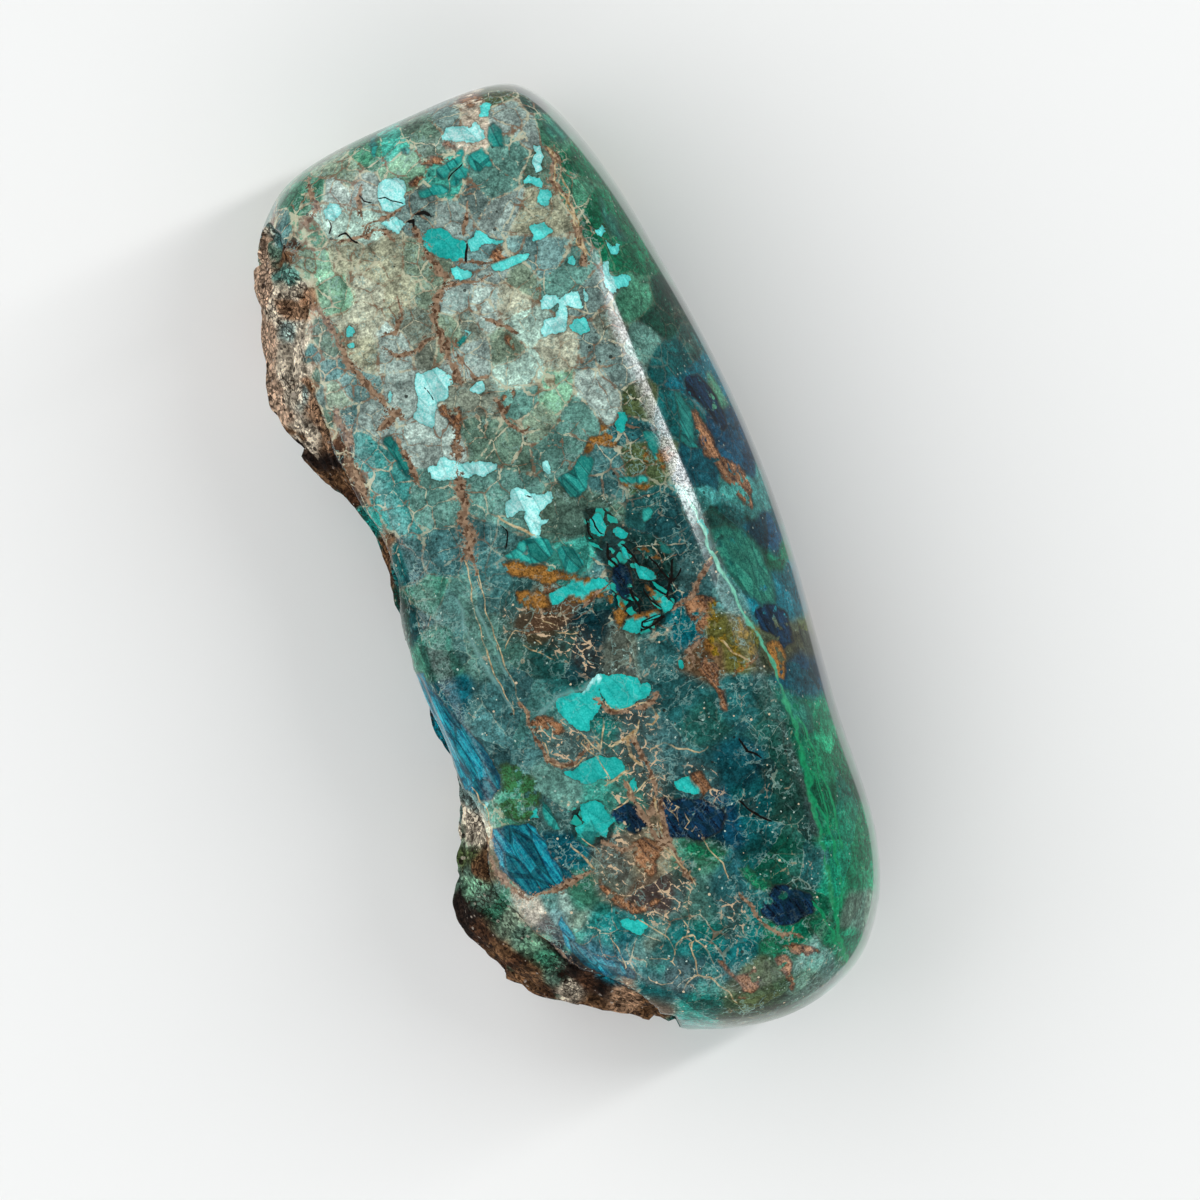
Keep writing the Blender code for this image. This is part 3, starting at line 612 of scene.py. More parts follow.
# The larger fragments of the breccia and of the rind: where each shows, and its tint
FRAGMENTS = [
    (330, 165, "sage"), (346, 172, "sage"), (306, 188, "green"), (335, 195, "pale_grey"),
    (365, 150, "green"), (395, 143, "sea_green"), (420, 125, "dark_sage"), (445, 112, "dark_grey"),
    (470, 114, "taupe"), (500, 92, "moss"), (530, 98, "dark_green"), (515, 118, "grey"),
    (528, 132, "grey"), (556, 126, "green"), (586, 165, "emerald"), (608, 205, "emerald"),
    (578, 188, "green"), (516, 155, "grey_teal"), (535, 165, "dark_sage"), (488, 185, "grey_teal"),
    (470, 200, "dark_grey"), (500, 210, "grey"), (540, 215, "olive_beige"), (450, 215, "grey"),
    (425, 205, "dark_grey"), (480, 258, "blue_grey"), (445, 190, "sea_green"), (370, 190, "grey"),
    (336, 214, "pale_mint"), (362, 226, "pale_mint"), (400, 170, "mint"), (318, 262, "mint"),
    (304, 240, "green"), (338, 256, "olive_beige"), (384, 262, "olive_beige"), (368, 292, "pale_beige"),
    (402, 296, "olive_beige"), (418, 330, "olive_grey"), (362, 318, "pale_beige"), (384, 348, "pale_grey"),
    (430, 290, "sage"), (330, 288, "mint"), (424, 265, "sage"), (458, 302, "grey"),
    (463, 322, "olive_grey"), (450, 330, "sage"), (488, 305, "pale_grey"), (510, 300, "pale_beige"),
    (488, 270, "grey"), (540, 260, "blue_grey"), (562, 278, "grey_teal"), (520, 280, "sage"),
    (506, 350, "sage"), (528, 330, "pale_mint"), (474, 356, "grey"), (518, 372, "pale_mint"),
    (556, 348, "pale_beige"), (602, 352, "dark_grey"), (620, 370, "dark_grey"), (594, 300, "dark_grey"),
    (608, 322, "olive_grey"), (590, 340, "dark_grey"), (636, 300, "green"), (658, 318, "dark_green"),
    (646, 344, "grey_teal"), (668, 360, "deep_teal"), (556, 395, "mint"), (540, 420, "sage"),
    (578, 412, "grey_teal"), (600, 396, "pale_grey"), (522, 396, "grey_teal"), (636, 402, "moss"),
    (640, 452, "moss"), (560, 440, "grey_teal"), (600, 460, "slate_teal"), (632, 432, "dark_teal"),
    (480, 428, "dark_sage"), (506, 444, "dark_sage"), (430, 442, "pale_grey"), (480, 405, "olive_grey"),
    (402, 400, "pale_grey"), (372, 424, "grey"), (352, 382, "blue_grey"), (370, 350, "olive_beige"),
    (362, 448, "pale_teal"), (384, 492, "pale_teal"), (368, 528, "teal"), (400, 518, "pale_teal"),
    (410, 560, "deep_teal"), (428, 500, "grey_teal"), (440, 556, "slate_teal"), (430, 596, "green"),
    (412, 620, "dark_green"), (500, 500, "grey_teal"), (484, 540, "slate_teal"), (498, 588, "slate_teal"),
    (452, 604, "grey_teal"), (478, 640, "grey_teal"), (436, 655, "green"), (448, 700, "sea_blue"),
    (488, 706, "slate_teal"), (520, 684, "slate_teal"), (556, 655, "dark_teal"), (590, 648, "ink"),
    (540, 624, "brown"), (618, 652, "olive_grey"), (680, 700, "dark_teal"), (704, 722, "forest"),
    (650, 645, "slate_teal"), (684, 628, "sea_blue"), (704, 650, "brown"), (738, 648, "olive_yellow"),
    (720, 622, "olive_yellow"), (598, 716, "teal"), (574, 745, "slate_teal"), (516, 736, "slate_teal"),
    (500, 660, "grey_teal"), (640, 722, "slate_teal"), (672, 754, "slate_teal"), (700, 776, "dark_teal"),
    (740, 762, "ink"), (718, 812, "deep_blue"), (756, 802, "deep_teal"), (786, 770, "forest"),
    (800, 812, "forest"), (780, 856, "dark_green"), (808, 868, "forest"), (838, 902, "malachite"), (844, 950, "malachite"), (766, 732, "forest"),
    (744, 700, "dark_teal"), (772, 704, "forest"), (566, 856, "sea_blue"), (596, 800, "sea_green"),
    (560, 800, "grey_teal"), (620, 872, "olive_grey"), (646, 892, "brown"), (700, 896, "grey_teal"),
    (726, 890, "dark_teal"), (690, 940, "teal"), (652, 940, "sage"), (604, 936, "teal"),
    (704, 966, "deep_teal"), (746, 934, "deep_teal"), (784, 936, "emerald"), (704, 1004, "teal"),
    (764, 986, "moss"), (816, 988, "dark_sage"), (820, 962, "grey_teal"), (856, 912, "dark_sage"), (826, 796, "emerald"),
    (740, 1008, "moss"), (650, 985, "deep_teal"), (650, 860, "tan"), (690, 858, "green"),
    (760, 560, "emerald"), (740, 552, "teal"), (720, 520, "forest"), (722, 514, "dark_green"), (736, 494, "pale_teal"),
    (706, 478, "ink"), (700, 500, "pale_teal"), (692, 384, "sea_blue"), (672, 410, "deep_teal"),
    (722, 380, "green"), (736, 430, "deep_blue"), (746, 452, "deep_blue"), (764, 540, "deep_blue"),
    (772, 590, "sea_blue"), (784, 650, "olive_yellow"), (796, 676, "deep_blue"), (800, 714, "emerald"),
    (820, 762, "malachite"), (838, 826, "malachite"), (846, 872, "malachite"), (640, 250, "emerald"),
    (672, 296, "dark_green"), (700, 338, "forest"), (700, 560, "slate_teal"), (724, 604, "slate_teal"),
    (668, 520, "dark_teal"), (690, 545, "dark_teal"), (652, 560, "forest"), (576, 520, "dark_sage"),
    (600, 560, "slate_teal"), (586, 552, "sea_green"), (640, 590, "ink"), (662, 640, "dark_teal"),
    (268, 240, "taupe"), (260, 264, "pink_brown"), (260, 294, "pink_brown"), (264, 324, "pink_brown"),
    (268, 350, "pink_brown"), (276, 384, "pink_brown"), (284, 414, "pink_brown"), (298, 442, "brown"),
    (276, 316, "taupe"), (284, 330, "grey"), (280, 348, "taupe"), (292, 356, "taupe"),
    (288, 376, "taupe"), (300, 374, "taupe"), (296, 398, "taupe"), (306, 398, "grey"),
    (304, 424, "taupe"), (312, 440, "taupe"),
    (284, 260, "brown"), (290, 246, "dark_brown"),
    (292, 290, "taupe"), (304, 300, "clay"), (294, 308, "clay"), (288, 272, "grey_teal"),
    (278, 240, "slate_teal"), (272, 254, "dark_sage"), (301, 342, "taupe"), (306, 366, "taupe"),
    (313, 392, "brown"), (320, 420, "clay"), (322, 440, "brown"), (331, 462, "black_brown"),
    (338, 480, "brown"), (350, 497, "dark_brown"), (320, 345, "dark_sage"), (326, 372, "slate_teal"),
    (336, 395, "sage"), (344, 420, "slate_teal"), (300, 262, "sage"), (302, 240, "green"),
    (312, 352, "slate_teal"), (318, 374, "dark_sage"), (324, 396, "dark_grey"), (331, 418, "dark_sage"),
    (308, 384, "clay"), (314, 404, "clay"), (338, 446, "dark_brown"), (326, 440, "clay"),
    (472, 800, "dark_grey"), (468, 816, "taupe"), (476, 834, "taupe"), (500, 812, "green"),
    (462, 838, "sage"), (466, 856, "moss"), (478, 868, "brown"), (458, 872, "dark_sage"),
    (473, 884, "mint"), (486, 896, "dark_sage"), (498, 907, "green"), (511, 920, "sage"),
    (522, 934, "dark_sage"), (534, 947, "mint"), (545, 959, "green"), (556, 976, "dark_sage"),
    (568, 990, "taupe"), (592, 1004, "brown"), (458, 898, "black_brown"), (466, 918, "black_brown"),
    (480, 934, "dark_brown"), (496, 952, "brown"), (512, 966, "dark_brown"), (528, 977, "brown"),
    (546, 992, "dark_brown"), (566, 1004, "dark_brown"), (530, 912, "taupe"),
    (542, 927, "dark_brown"), (556, 945, "black_brown"), (572, 964, "black_brown"), (588, 976, "dark_brown"),
    (604, 986, "black_brown"), (624, 996, "clay"), (644, 1004, "brown"), (380, 548, "brown"),
    (550, 902, "grey_teal"), (566, 900, "pale_mint"), (578, 894, "green"), (558, 918, "blue_grey"),
    (580, 918, "sage"), (578, 940, "sea_green"), (592, 924, "teal"), (620, 944, "deep_teal"),
    (634, 952, "grey_teal"), (664, 956, "teal"), (676, 972, "slate_teal"), (646, 930, "teal"), (594, 950, "sea_blue"), (614, 968, "sea_blue"),
]

# The chips by mineral: their outlines, the mineral's two tints, how fibrous it is and how solid,
# both from 0 to 1, and over how many millimetres its edge fades
CHIPS = [
    (COPPER_PATCHES, "4A2E1E", "C08E66", 0.4, 0.56, 0.12),
    (OCHRE_PATCHES, "5A3E1C", "B07C3A", 0.2, 0.56, 0.12),
    (GOLD_WEBS, "4E4414", "B8962C", 0.2, 0.48, 0.12),
    (MOSS_PATCHES, "2C4424", "3C8250", 0.2, 0.54, 0.4),
    (EMERALD_PATCHES, "0A4C38", "1F8C60", 0.2, 0.56, 0.4),
    (NAVY_PATCHES, "060C18", "0E3A58", 0.5, 0.6, 0.12),
    (GREEN_FIBRES, "125A50", "348C76", 0.3, 0.62, 0.4),
    (BLUE_FIBRES, "06465E", "1C98A6", 0.6, 1.0, 0.05),
    (TEAL_CHIPS, "137872", "3AA89C", 0.5, 0.7, 0.12),
    (TURQUOISE_CHIPS, "18A8A0", "30C4BC", 0.15, 1.0, 0.03),
    (SKY_CHIPS, "46CCC6", "78E8E2", 0.15, 1.0, 0.03),
    (PALE_CHIPS, "78D6D2", "C2F2EE", 0.2, 1.0, 0.03),
]
# How bright a tint that was judged on the lit stone is as a paint
PAINT_SHARE = 0.87
# How far a mark is felt beyond its own edge, in millimetres
MARK_REACH = 3.0
RAGGED_SIZE = 1.3
RAGGED_REACH = 0.28
# The fragments' borders wander more than those of the marks, and more still on the hidden sides
BORDER_SIZE = 2.8
BORDER_REACH = 0.8
SIDE_REACH = 3.0
RIND_REACH = 18.0
FACE_SEEN_ABOVE = 14.0
RIND_SEEN_ABOVE = 12.0
# How late along the stone's half width and half length its sides begin to be unfolded
UNFOLD_POWERS = (4, 8)
# Towards the wide end the fragments flow together: from this place on, and over this length
SOFT_BELOW = -6.0
CRISP_OVER = 14.0
CRISP_SOFTNESS = 0.12
BLURRED_SOFTNESS = 0.18
# The rind's grain is drawn out down its steep wall, as crusts grow
RIND_SQUEEZE = 0.6
# Noise vectors start from the clock unless they are given a seed: this keeps every run the same
BORDER_SEED = 7
noise.seed_set(BORDER_SEED)


def spline_through(stations, steps=12):
    """Points on a smooth closed curve through the stations, and how many lie from one to the next."""
    stations = np.array(stations, float)
    before, after, beyond = (np.roll(stations, shift, axis=0) for shift in (1, -1, -2))
    fine = []
    for share in np.arange(steps) / steps:
        fine.append(
            0.5 * (
                2 * stations + (after - before) * share
                + (2 * before - 5 * stations + 4 * after - beyond) * share**2
                + (3 * stations - before - 3 * after + beyond) * share**3
            )
        )
    return np.stack(fine, axis=1).reshape(-1, stations.shape[1]), steps


def cells_of_run(fine, first, last, shares):
    """Points at these shares of the belly's length from fine point first to fine point last."""
    run = fine[np.arange(first, last + 1) % len(fine)]
    lengths = np.linalg.norm(np.diff(run[:, :2], axis=0), axis=1)
    along = np.concatenate([[0.0], np.cumsum(lengths)])
    targets = np.array(shares) * along[-1]
    return np.stack([np.interp(targets, along, column) for column in run.T], axis=1)


def outline_cells():
    """The four sides of the cage as arrays of belly and edge points: left to right, then upwards."""
    runs = [NARROW_END, RIGHT_SIDE, WIDE_END, LEFT_SIDE]
    fine, steps = spline_through([station for run in runs for station in run])
    starts = np.cumsum([0] + [len(run) for run in runs]) * steps
    cells = [CELLS_ACROSS, CELLS_ALONG, CELLS_ACROSS, CELLS_ALONG]
    sides = [cells_of_run(fine, starts[n], starts[n + 1], cells[n]) for n in range(4)]
    return {"top": sides[0], "right": sides[1][::-1], "bottom": sides[2][::-1], "left": sides[3]}


def edge_height(point):
    """The height of the polished face's edge: it falls to both ends and to the left."""
    along = 2 * point[1] / LENGTH
    end_drop = NARROW_END_DROP * max(along, 0) ** 4 + WIDE_END_DROP * max(-along, 0) ** 4
    left_drop = LEFT_DROP * max(0.0, 0.5 - point[0] / WIDTH)
    return SHOULDER_HEIGHT - end_drop - left_drop


def ring_point(cell, ring):
    """A point of the cage's side on one of its rings, from the foot (0) to the face's edge (4)."""
    belly, edge = cell[:2], cell[2:]
    if ring == 0:
        return (*(belly * FOOT_SHARE), FOOT_HEIGHT)
    if ring == 1:
        return (*(belly * HEEL_SHARE), HEEL_HEIGHT)
    if ring == 2:
        return (*belly, BELLY_HEIGHT)
    if ring == 3:
        return (*(belly + (edge - belly) * FLANK_SHARE), FLANK_HEIGHT)
    return (*edge, edge_height(edge))


def face_point(sides, column, row, ring):
    """A point inside the face or the back, blended from the four sides of that ring."""
    u, v = CELLS_ACROSS[column], CELLS_ALONG[row]
    left, right = (np.array(ring_point(sides[s][row], ring)) for s in ("left", "right"))
    bottom, top = (np.array(ring_point(sides[s][column], ring)) for s in ("bottom", "top"))
    corners = [[np.array(ring_point(sides[s][n], ring)) for n in (0, -1)] for s in ("bottom", "top")]
    lower = (1 - u) * corners[0][0] + u * corners[0][1]
    upper = (1 - u) * corners[1][0] + u * corners[1][1]
    point = (1 - v) * bottom + v * top + (1 - u) * left + u * right - (1 - v) * lower - v * upper
    if ring == RINGS:
        point[2] += FACE_CROWN * (16 * u * (1 - u) * v * (1 - v)) ** 0.6
    return point


def make_cage():
    """A cube cut into cells, whose points are moved to the rings of the stone."""
    across, along = len(CELLS_ACROSS) - 1, len(CELLS_ALONG) - 1
    sides = outline_cells()
    cage = bmesh.new()
    bmesh.ops.create_cube(cage, size=2.0)
    for axis, cells in enumerate((across, along, RINGS)):
        parallel = [
            edge for edge in cage.edges
            if abs(edge.verts[0].co[axis] - edge.verts[1].co[axis]) > 1e-6
        ]
        bmesh.ops.subdivide_edges(cage, edges=parallel, cuts=cells - 1, use_grid_fill=True)
    for vert in cage.verts:
        column = round((vert.co.x + 1) / 2 * across)
        row = round((vert.co.y + 1) / 2 * along)
        ring = round((vert.co.z + 1) / 2 * RINGS)
        if column == 0:
            point = ring_point(sides["left"][row], ring)
        elif column == across:
            point = ring_point(sides["right"][row], ring)
        elif row == 0:
            point = ring_point(sides["bottom"][column], ring)
        elif row == along:
            point = ring_point(sides["top"][column], ring)
        else:
            point = face_point(sides, column, row, ring)
        vert.co = Vector([float(x) for x in point]) * MM
    bmesh.ops.recalc_face_normals(cage, faces=cage.faces)
    mesh = bpy.data.meshes.new("stone_cage")
    cage.to_mesh(mesh)
    cage.free()
    return mesh


def depth_inside(points, line):
    """How far each point lies inside a closed line, in its own units: negative outside it."""
    line = np.array(line, float)
    ends = np.roll(line, -1, axis=0)
    nearest = np.full(len(points), np.inf)
    inside = np.zeros(len(points), bool)
    for start, end in zip(line, ends):
        run = end - start
        share = np.clip((points - start) @ run / (run @ run), 0, 1)
        nearest = np.minimum(nearest, np.linalg.norm(points - start - share[:, None] * run, axis=1))
        if abs(run[1]) > 1e-9:
            crosses = (start[1] > points[:, 1]) != (end[1] > points[:, 1])
            at_x = start[0] + (points[:, 1] - start[1]) / run[1] * run[0]
            inside ^= crosses & (points[:, 0] < at_x)
    return np.where(inside, nearest, -nearest)


def rind_depth(points):
    """How far each point lies beyond the polish line, or below it on the left flank."""
    below_belly = np.maximum(BELLY_HEIGHT - points[:, 2], 0.0)
    spread = np.stack([points[:, 0], points[:, 1] * (1 + RIND_DRAW_IN * below_belly)], axis=1)
    flank = np.minimum(depth_inside(spread, FLANK_LINE), RIND_TOP - points[:, 2])
    return np.maximum(depth_inside(spread, RIND_LINE), flank)


def rind_relief(point, depth):
    """How far the surface of the rind lies below the polish there, in millimetres."""
    depth += 0.5 * noise.noise(point / 2.6)
    if depth <= 0:
        return 0.0
    step = RIND_STEP * min(depth / 0.6, 1.0)
    crevice = CREVICE_DEPTH * max(0.0, 1 - abs(2 * depth / CREVICE_WIDTH - 1))
    fade = min(depth / 1.2, 1.0)
    lumps = LUMP_HEIGHT * noise.noise(point / LUMP_SIZE) + KNOB_HEIGHT * noise.noise(point / KNOB_SIZE)
    layer = (depth + 1.4 * noise.noise(point / 7.0)) / LEDGE_SPACING
    ledges = LEDGE_HEIGHT * (0.5 - layer + floor(layer))
    grit = GRIT_HEIGHT * noise.noise(point / GRIT_SIZE)
    return step + crevice - fade * (lumps + ledges + grit)


def crust_relief(point):
    """How far the knobbly crust stands up at this point, in millimetres."""
    offset = Vector([(point[n] - CRUST_PLACE[n]) / CRUST_SIZE[n] for n in range(3)])
    cover = max(0.0, 1 - offset.length_squared)
    return CRUST_HEIGHT * cover * (0.75 + 0.9 * noise.noise(point / 0.9))


def fibre_relief(point, depth):
    """How far the chipped blue fibres lie below the polish, in millimetres."""
    if depth <= 0:
        return 0.0
    along_fibres = Vector([point[n] / FIBRE_SIZE[n] for n in range(3)])
    fade = min(depth / 0.8, 1.0)
    return fade * (FIBRE_STEP + FIBRE_HEIGHT * noise.noise(along_fibres))


def carve_surface(mesh):
    """Moves the points of the smooth stone to its waves, its rind and its fibres: gives their depths."""
    count = len(mesh.vertices)
    points = np.empty(count * 3)
    mesh.vertices.foreach_get("co", points)
    points = points.reshape(-1, 3) / MM
    rind = rind_depth(points)
    fibres = depth_inside(points[:, :2], FIBRE_LINE)
    directions = [vert.normal.copy() for vert in mesh.vertices]
    hollows = []
    for index, vert in enumerate(mesh.vertices):
        point = Vector(points[index])
        wave = HAND_WAVE_HEIGHT * noise.noise(point / HAND_WAVE_SIZE) + crust_relief(point)
        sunk = rind_relief(point, rind[index]) + fibre_relief(point, fibres[index])
        # Near the ground back the relief only moves sideways, so the cut keeps one plain rim
        directions[index].z *= min(max(point.z / HEEL_HEIGHT, 0.0), 1.0)
        vert.co += directions[index] * (wave - sunk) * MM
        hollows.append(sunk)
    mesh.update()
    return hollows


def grind_back(mesh):
    """Cuts the stone off flat where it rests and closes the cut with one face."""
    shape = bmesh.new()
    shape.from_mesh(mesh)
    geometry = shape.verts[:] + shape.edges[:] + shape.faces[:]
    cut = bmesh.ops.bisect_plane(
        shape, geom=geometry, dist=1e-7, plane_co=(0, 0, 0), plane_no=(0, 0, 1), clear_inner=True
    )
    rim = [item for item in cut["geom_cut"] if isinstance(item, bmesh.types.BMEdge)]
    bmesh.ops.contextual_create(shape, geom=rim)
    for vert in shape.verts:
        if abs(vert.co.z) < 1e-6:
            vert.co.z = 0.0
    bmesh.ops.triangulate(shape, faces=shape.faces)
    shape.to_mesh(mesh)
    shape.free()


def seen_at(points):
    """The picture's column and row at which the camera sees each point, given in millimetres."""
    turn = radians(-STONE_LEANS)
    across, along = points[:, 0] - CAMERA_OVER[0], points[:, 1] - CAMERA_OVER[1]
    scale = PIXELS_PER_RADIAN / (CAMERA_HEIGHT - points[:, 2])
    columns = PICTURE_SIZE / 2 + scale * (across * cos(turn) + along * sin(turn))
    rows = PICTURE_SIZE / 2 - scale * (along * cos(turn) - across * sin(turn))
    return np.stack([columns, rows], axis=1)


PIXELS_PER_MM = PIXELS_PER_RADIAN / (CAMERA_HEIGHT - SHOULDER_HEIGHT)


def wandering(points, size, reach):
    """Each point moved by noise, so that what is laid by it gets a ragged edge."""
    moves = np.array([noise.noise_vector(Vector(point)) for point in points / size])
    return points + np.asarray(reach).reshape(-1, 1) * moves


def near_outline(pixels, outline):
    """Which points lie close enough to this outline or line to be measured from it."""
    outline = np.array(outline, float)
    margin = MARK_REACH * PIXELS_PER_MM
    low, high = outline.min(axis=0) - margin, outline.max(axis=0) + margin
    return np.flatnonzero(((pixels > low) & (pixels < high)).all(axis=1))


def depth_in_chips(pixels, outlines):
    """How deep each point lies in the nearest of these chips, in millimetres, and which chip it is."""
    depth = np.full(len(pixels), -MARK_REACH)
    nearest = np.zeros(len(pixels), int)
    for number, outline in enumerate(outlines):
        near = near_outline(pixels, outline)
        own = depth_inside(pixels[near], outline) / PIXELS_PER_MM
        deeper = own > depth[near]
        depth[near[deeper]] = own[deeper]
        nearest[near[deeper]] = number
    return depth, nearest


def distance_from_veins(pixels, veins):
    """Each point's distance from the nearest vein in half widths: signed by its side, and plain."""
    plain = np.full(len(pixels), MARK_REACH * PIXELS_PER_MM)
    signed = plain.copy()
    for line, half_width in veins:
        near = near_outline(pixels, line)
        line = np.array(line, float)
        for start, end in zip(line, line[1:]):
            run = end - start
            offset = pixels[near] - start
            share = np.clip(offset @ run / (run @ run), 0, 1)
            distance = np.linalg.norm(offset - share[:, None] * run, axis=1) / half_width
            side = np.where(run[0] * offset[:, 1] > run[1] * offset[:, 0], 1.0, -1.0)
            closer = distance < plain[near]
            plain[near[closer]] = distance[closer]
            signed[near[closer]] = (side * distance)[closer]
    return signed, plain


def fragment_places(points):
    """Where in the picture each point's fragment is looked up: the unseen sides repeat the face."""
    polished = rind_depth(points) < 0
    unseen = np.clip(np.where(polished, FACE_SEEN_ABOVE, RIND_SEEN_ABOVE) - points[:, 2], 0, None)
    reach = np.where(polished, SIDE_REACH, RIND_REACH) * unseen / FACE_SEEN_ABOVE
    shares = points[:, :2] / (WIDTH / 2, LENGTH / 2)
    inward = np.sign(shares) * np.abs(shares) ** UNFOLD_POWERS
    moved = wandering(points, BORDER_SIZE, BORDER_REACH)
    moved[:, :2] -= inward * (unseen * polished)[:, None]
    return seen_at(wandering(moved, 3 * BORDER_SIZE, reach))


def nearest_fragments(pixels):
    """The fragment that each point belongs to, and its distances from that one and the next one."""
    first, second = np.full((2, len(pixels)), np.inf)
    fragment = np.zeros(len(pixels), int)
    for number, (column, row, tint) in enumerate(FRAGMENTS):
        distance = np.hypot(pixels[:, 0] - column, pixels[:, 1] - row) / PIXELS_PER_MM
        closest = distance < first
        second = np.where(closest, first, np.minimum(second, distance))
        fragment[closest] = number
        first = np.minimum(first, distance)
    return fragment, first, second


def ground_paints(pixels, nearest, softness):
    """The paint of the ground at each point: fragments flow together over their softness, in mm."""
    paints = np.zeros((len(pixels), 4))
    weights = np.zeros(len(pixels))
    for column, row, tint in FRAGMENTS:
        distance = np.hypot(pixels[:, 0] - column, pixels[:, 1] - row) / PIXELS_PER_MM
        weight = np.exp((nearest - distance) / softness)
        paints += weight[:, None] * paint_of(TINTS[tint])
        weights += weight
    return paints / weights[:, None]


def all_chips():
    """Every chip's outline with its mineral's place in CHIPS."""
    return [(outline, kind) for kind, mineral in enumerate(CHIPS) for outline in mineral[0]]


def cut_marked_cells(mesh):
    """Cuts in four each small face that a border, a chip's edge or a vein crosses, on the seen side."""
    shape = bmesh.new()
    shape.from_mesh(mesh)
    points = np.array([vert.co for vert in shape.verts]) / MM
    pixels = seen_at(wandering(points, RAGGED_SIZE, RAGGED_REACH))
    fragment = nearest_fragments(fragment_places(points))[0]
    depth = depth_in_chips(pixels, [chip[0] for chip in all_chips()])[0]
    veins = BROWN_VEINS + DARK_CRACKS + MALACHITE_LINE
    close = distance_from_veins(pixels, veins)[1] < 1.6
    crossed = set()
    for face in shape.faces:
        corners = [vert.index for vert in face.verts]
        if min(points[corners, 2]) < BELLY_HEIGHT or face.normal.z < 0.3:
            continue
        split = len(set(fragment[corners])) > 1 and points[corners[0], 1] > SOFT_BELOW
        edge = min(depth[corners]) < 0.1 and max(depth[corners]) > -0.1
        if split or edge or close[corners].any():
            crossed.update(face.edges)
    bmesh.ops.subdivide_edges(shape, edges=list(crossed), cuts=1, use_grid_fill=True)
    shape.to_mesh(mesh)
    shape.free()


def paint_of(tint):
    """A tint given as red, green and blue in hexadecimal, as the linear colour of a paint."""
    shown = [int(tint[n:n + 2], 16) / 255 for n in (0, 2, 4)]
    light = [(value + 0.055) ** 2.4 / 1.055**2.4 if value > 0.04 else value / 12.92 for value in shown]
    return (*(PAINT_SHARE * value for value in light), 1.0)


def keep_values(mesh, name, values):
    """Stores one number or one colour for each of the mesh's points."""
    values = np.asarray(values, float)
    kind, field = ("FLOAT", "value") if values.ndim == 1 else ("FLOAT_COLOR", "color")
    mesh.attributes.new(name, kind, "POINT").data.foreach_set(field, values.ravel())


def lay_markings(mesh):
    """Stores at each point what the stone's finish shows there: its fragment, chip, veins and rind."""
    points = np.empty(len(mesh.vertices) * 3)
    mesh.vertices.foreach_get("co", points)
    points = points.reshape(-1, 3) / MM
    places = fragment_places(points)
    fragment, first, second = nearest_fragments(places)
    crisp = np.clip((points[:, 1] - SOFT_BELOW) / CRISP_OVER, 0, 1)
    softness = CRISP_SOFTNESS * crisp + BLURRED_SOFTNESS * (1 - crisp)
    keep_values(mesh, "ground", ground_paints(places, first, softness))
    keep_values(mesh, "border", np.minimum((second - first) / 2, MARK_REACH))
    pixels = seen_at(wandering(points, RAGGED_SIZE, RAGGED_REACH))
    chips = all_chips()
    depth, nearest = depth_in_chips(pixels, [chip[0] for chip in chips])
    hidden = np.clip((BELLY_HEIGHT + 3 - points[:, 2]) / 3, 0, 1)
    keep_values(mesh, "chip_depth", depth - hidden * MARK_REACH)
    kinds = np.array([chip[1] for chip in chips])[nearest]
    keep_values(mesh, "chip_dark", np.array([paint_of(mineral[1]) for mineral in CHIPS])[kinds])
    keep_values(mesh, "chip_light", np.array([paint_of(mineral[2]) for mineral in CHIPS])[kinds])
    keep_values(mesh, "chip_nature", np.array([(*mineral[3:], 1.0) for mineral in CHIPS])[kinds])
    for name, veins in VEIN_SETS.items():
        signed, plain = distance_from_veins(pixels, veins)
        keep_values(mesh, name + "_side", signed)
        keep_values(mesh, name + "_near", plain)
    for name, patches in MARKED_AREAS.items():
        keep_values(mesh, name + "_depth", depth_in_chips(pixels, patches)[0])
    rind = rind_depth(points) + np.array([0.5 * noise.noise(Vector(point)) for point in points / 2.6])
    keep_values(mesh, "rind", rind)


MARKED_AREAS = {"net": TAN_NETS, "mosaic": MOSAICS, "grains": GRAIN_PATCHES, "clear": CLEAR_BANDS}
VEIN_SETS = {
    "vein": BROWN_VEINS, "thread": GOLD_THREADS, "crack": DARK_CRACKS, "malachite": MALACHITE_LINE, "streak": SHEEN_STREAKS,
}


def add_node(tree, kind, values, output=0, **settings):
    """A new node with its inputs set or linked, by name or number. Gives the socket that it feeds."""
    node = tree.nodes.new(kind)
    for name, value in settings.items():
        setattr(node, name, value)
    for name, value in values.items():
        if isinstance(value, bpy.types.NodeSocket):
            tree.links.new(value, node.inputs[name])
        else:
            node.inputs[name].default_value = value
    return node.outputs[output]


def attribute(tree, name, output="Fac"):
    """What is stored at the mesh's points under this name."""
    return add_node(tree, "ShaderNodeAttribute", {}, output, attribute_name=name)


def maths(tree, operation, *values):
    """One step of arithmetic on numbers."""
    return add_node(tree, "ShaderNodeMath", dict(enumerate(values)), operation=operation)


def ramp(tree, value, low, high, low_result=0.0, high_result=1.0):
    """A smooth rise from one result to another while the value goes from low to high."""
    values = {0: value, 1: low, 2: high, 3: low_result, 4: high_result}
    return add_node(tree, "ShaderNodeMapRange", values, interpolation_type="SMOOTHSTEP")


def mix(tree, share, first, second, blend="MIX"):
    """Two colours mixed by a share, plainly or by one of Blender's blends."""
    values = {"Factor": share, 6: first, 7: second}
    return add_node(tree, "ShaderNodeMix", values, 2, data_type="RGBA", blend_type=blend)


def mix_numbers(tree, share, first, second):
    """Two numbers mixed by a share."""
    return add_node(tree, "ShaderNodeMix", {"Factor": share, 2: first, 3: second})


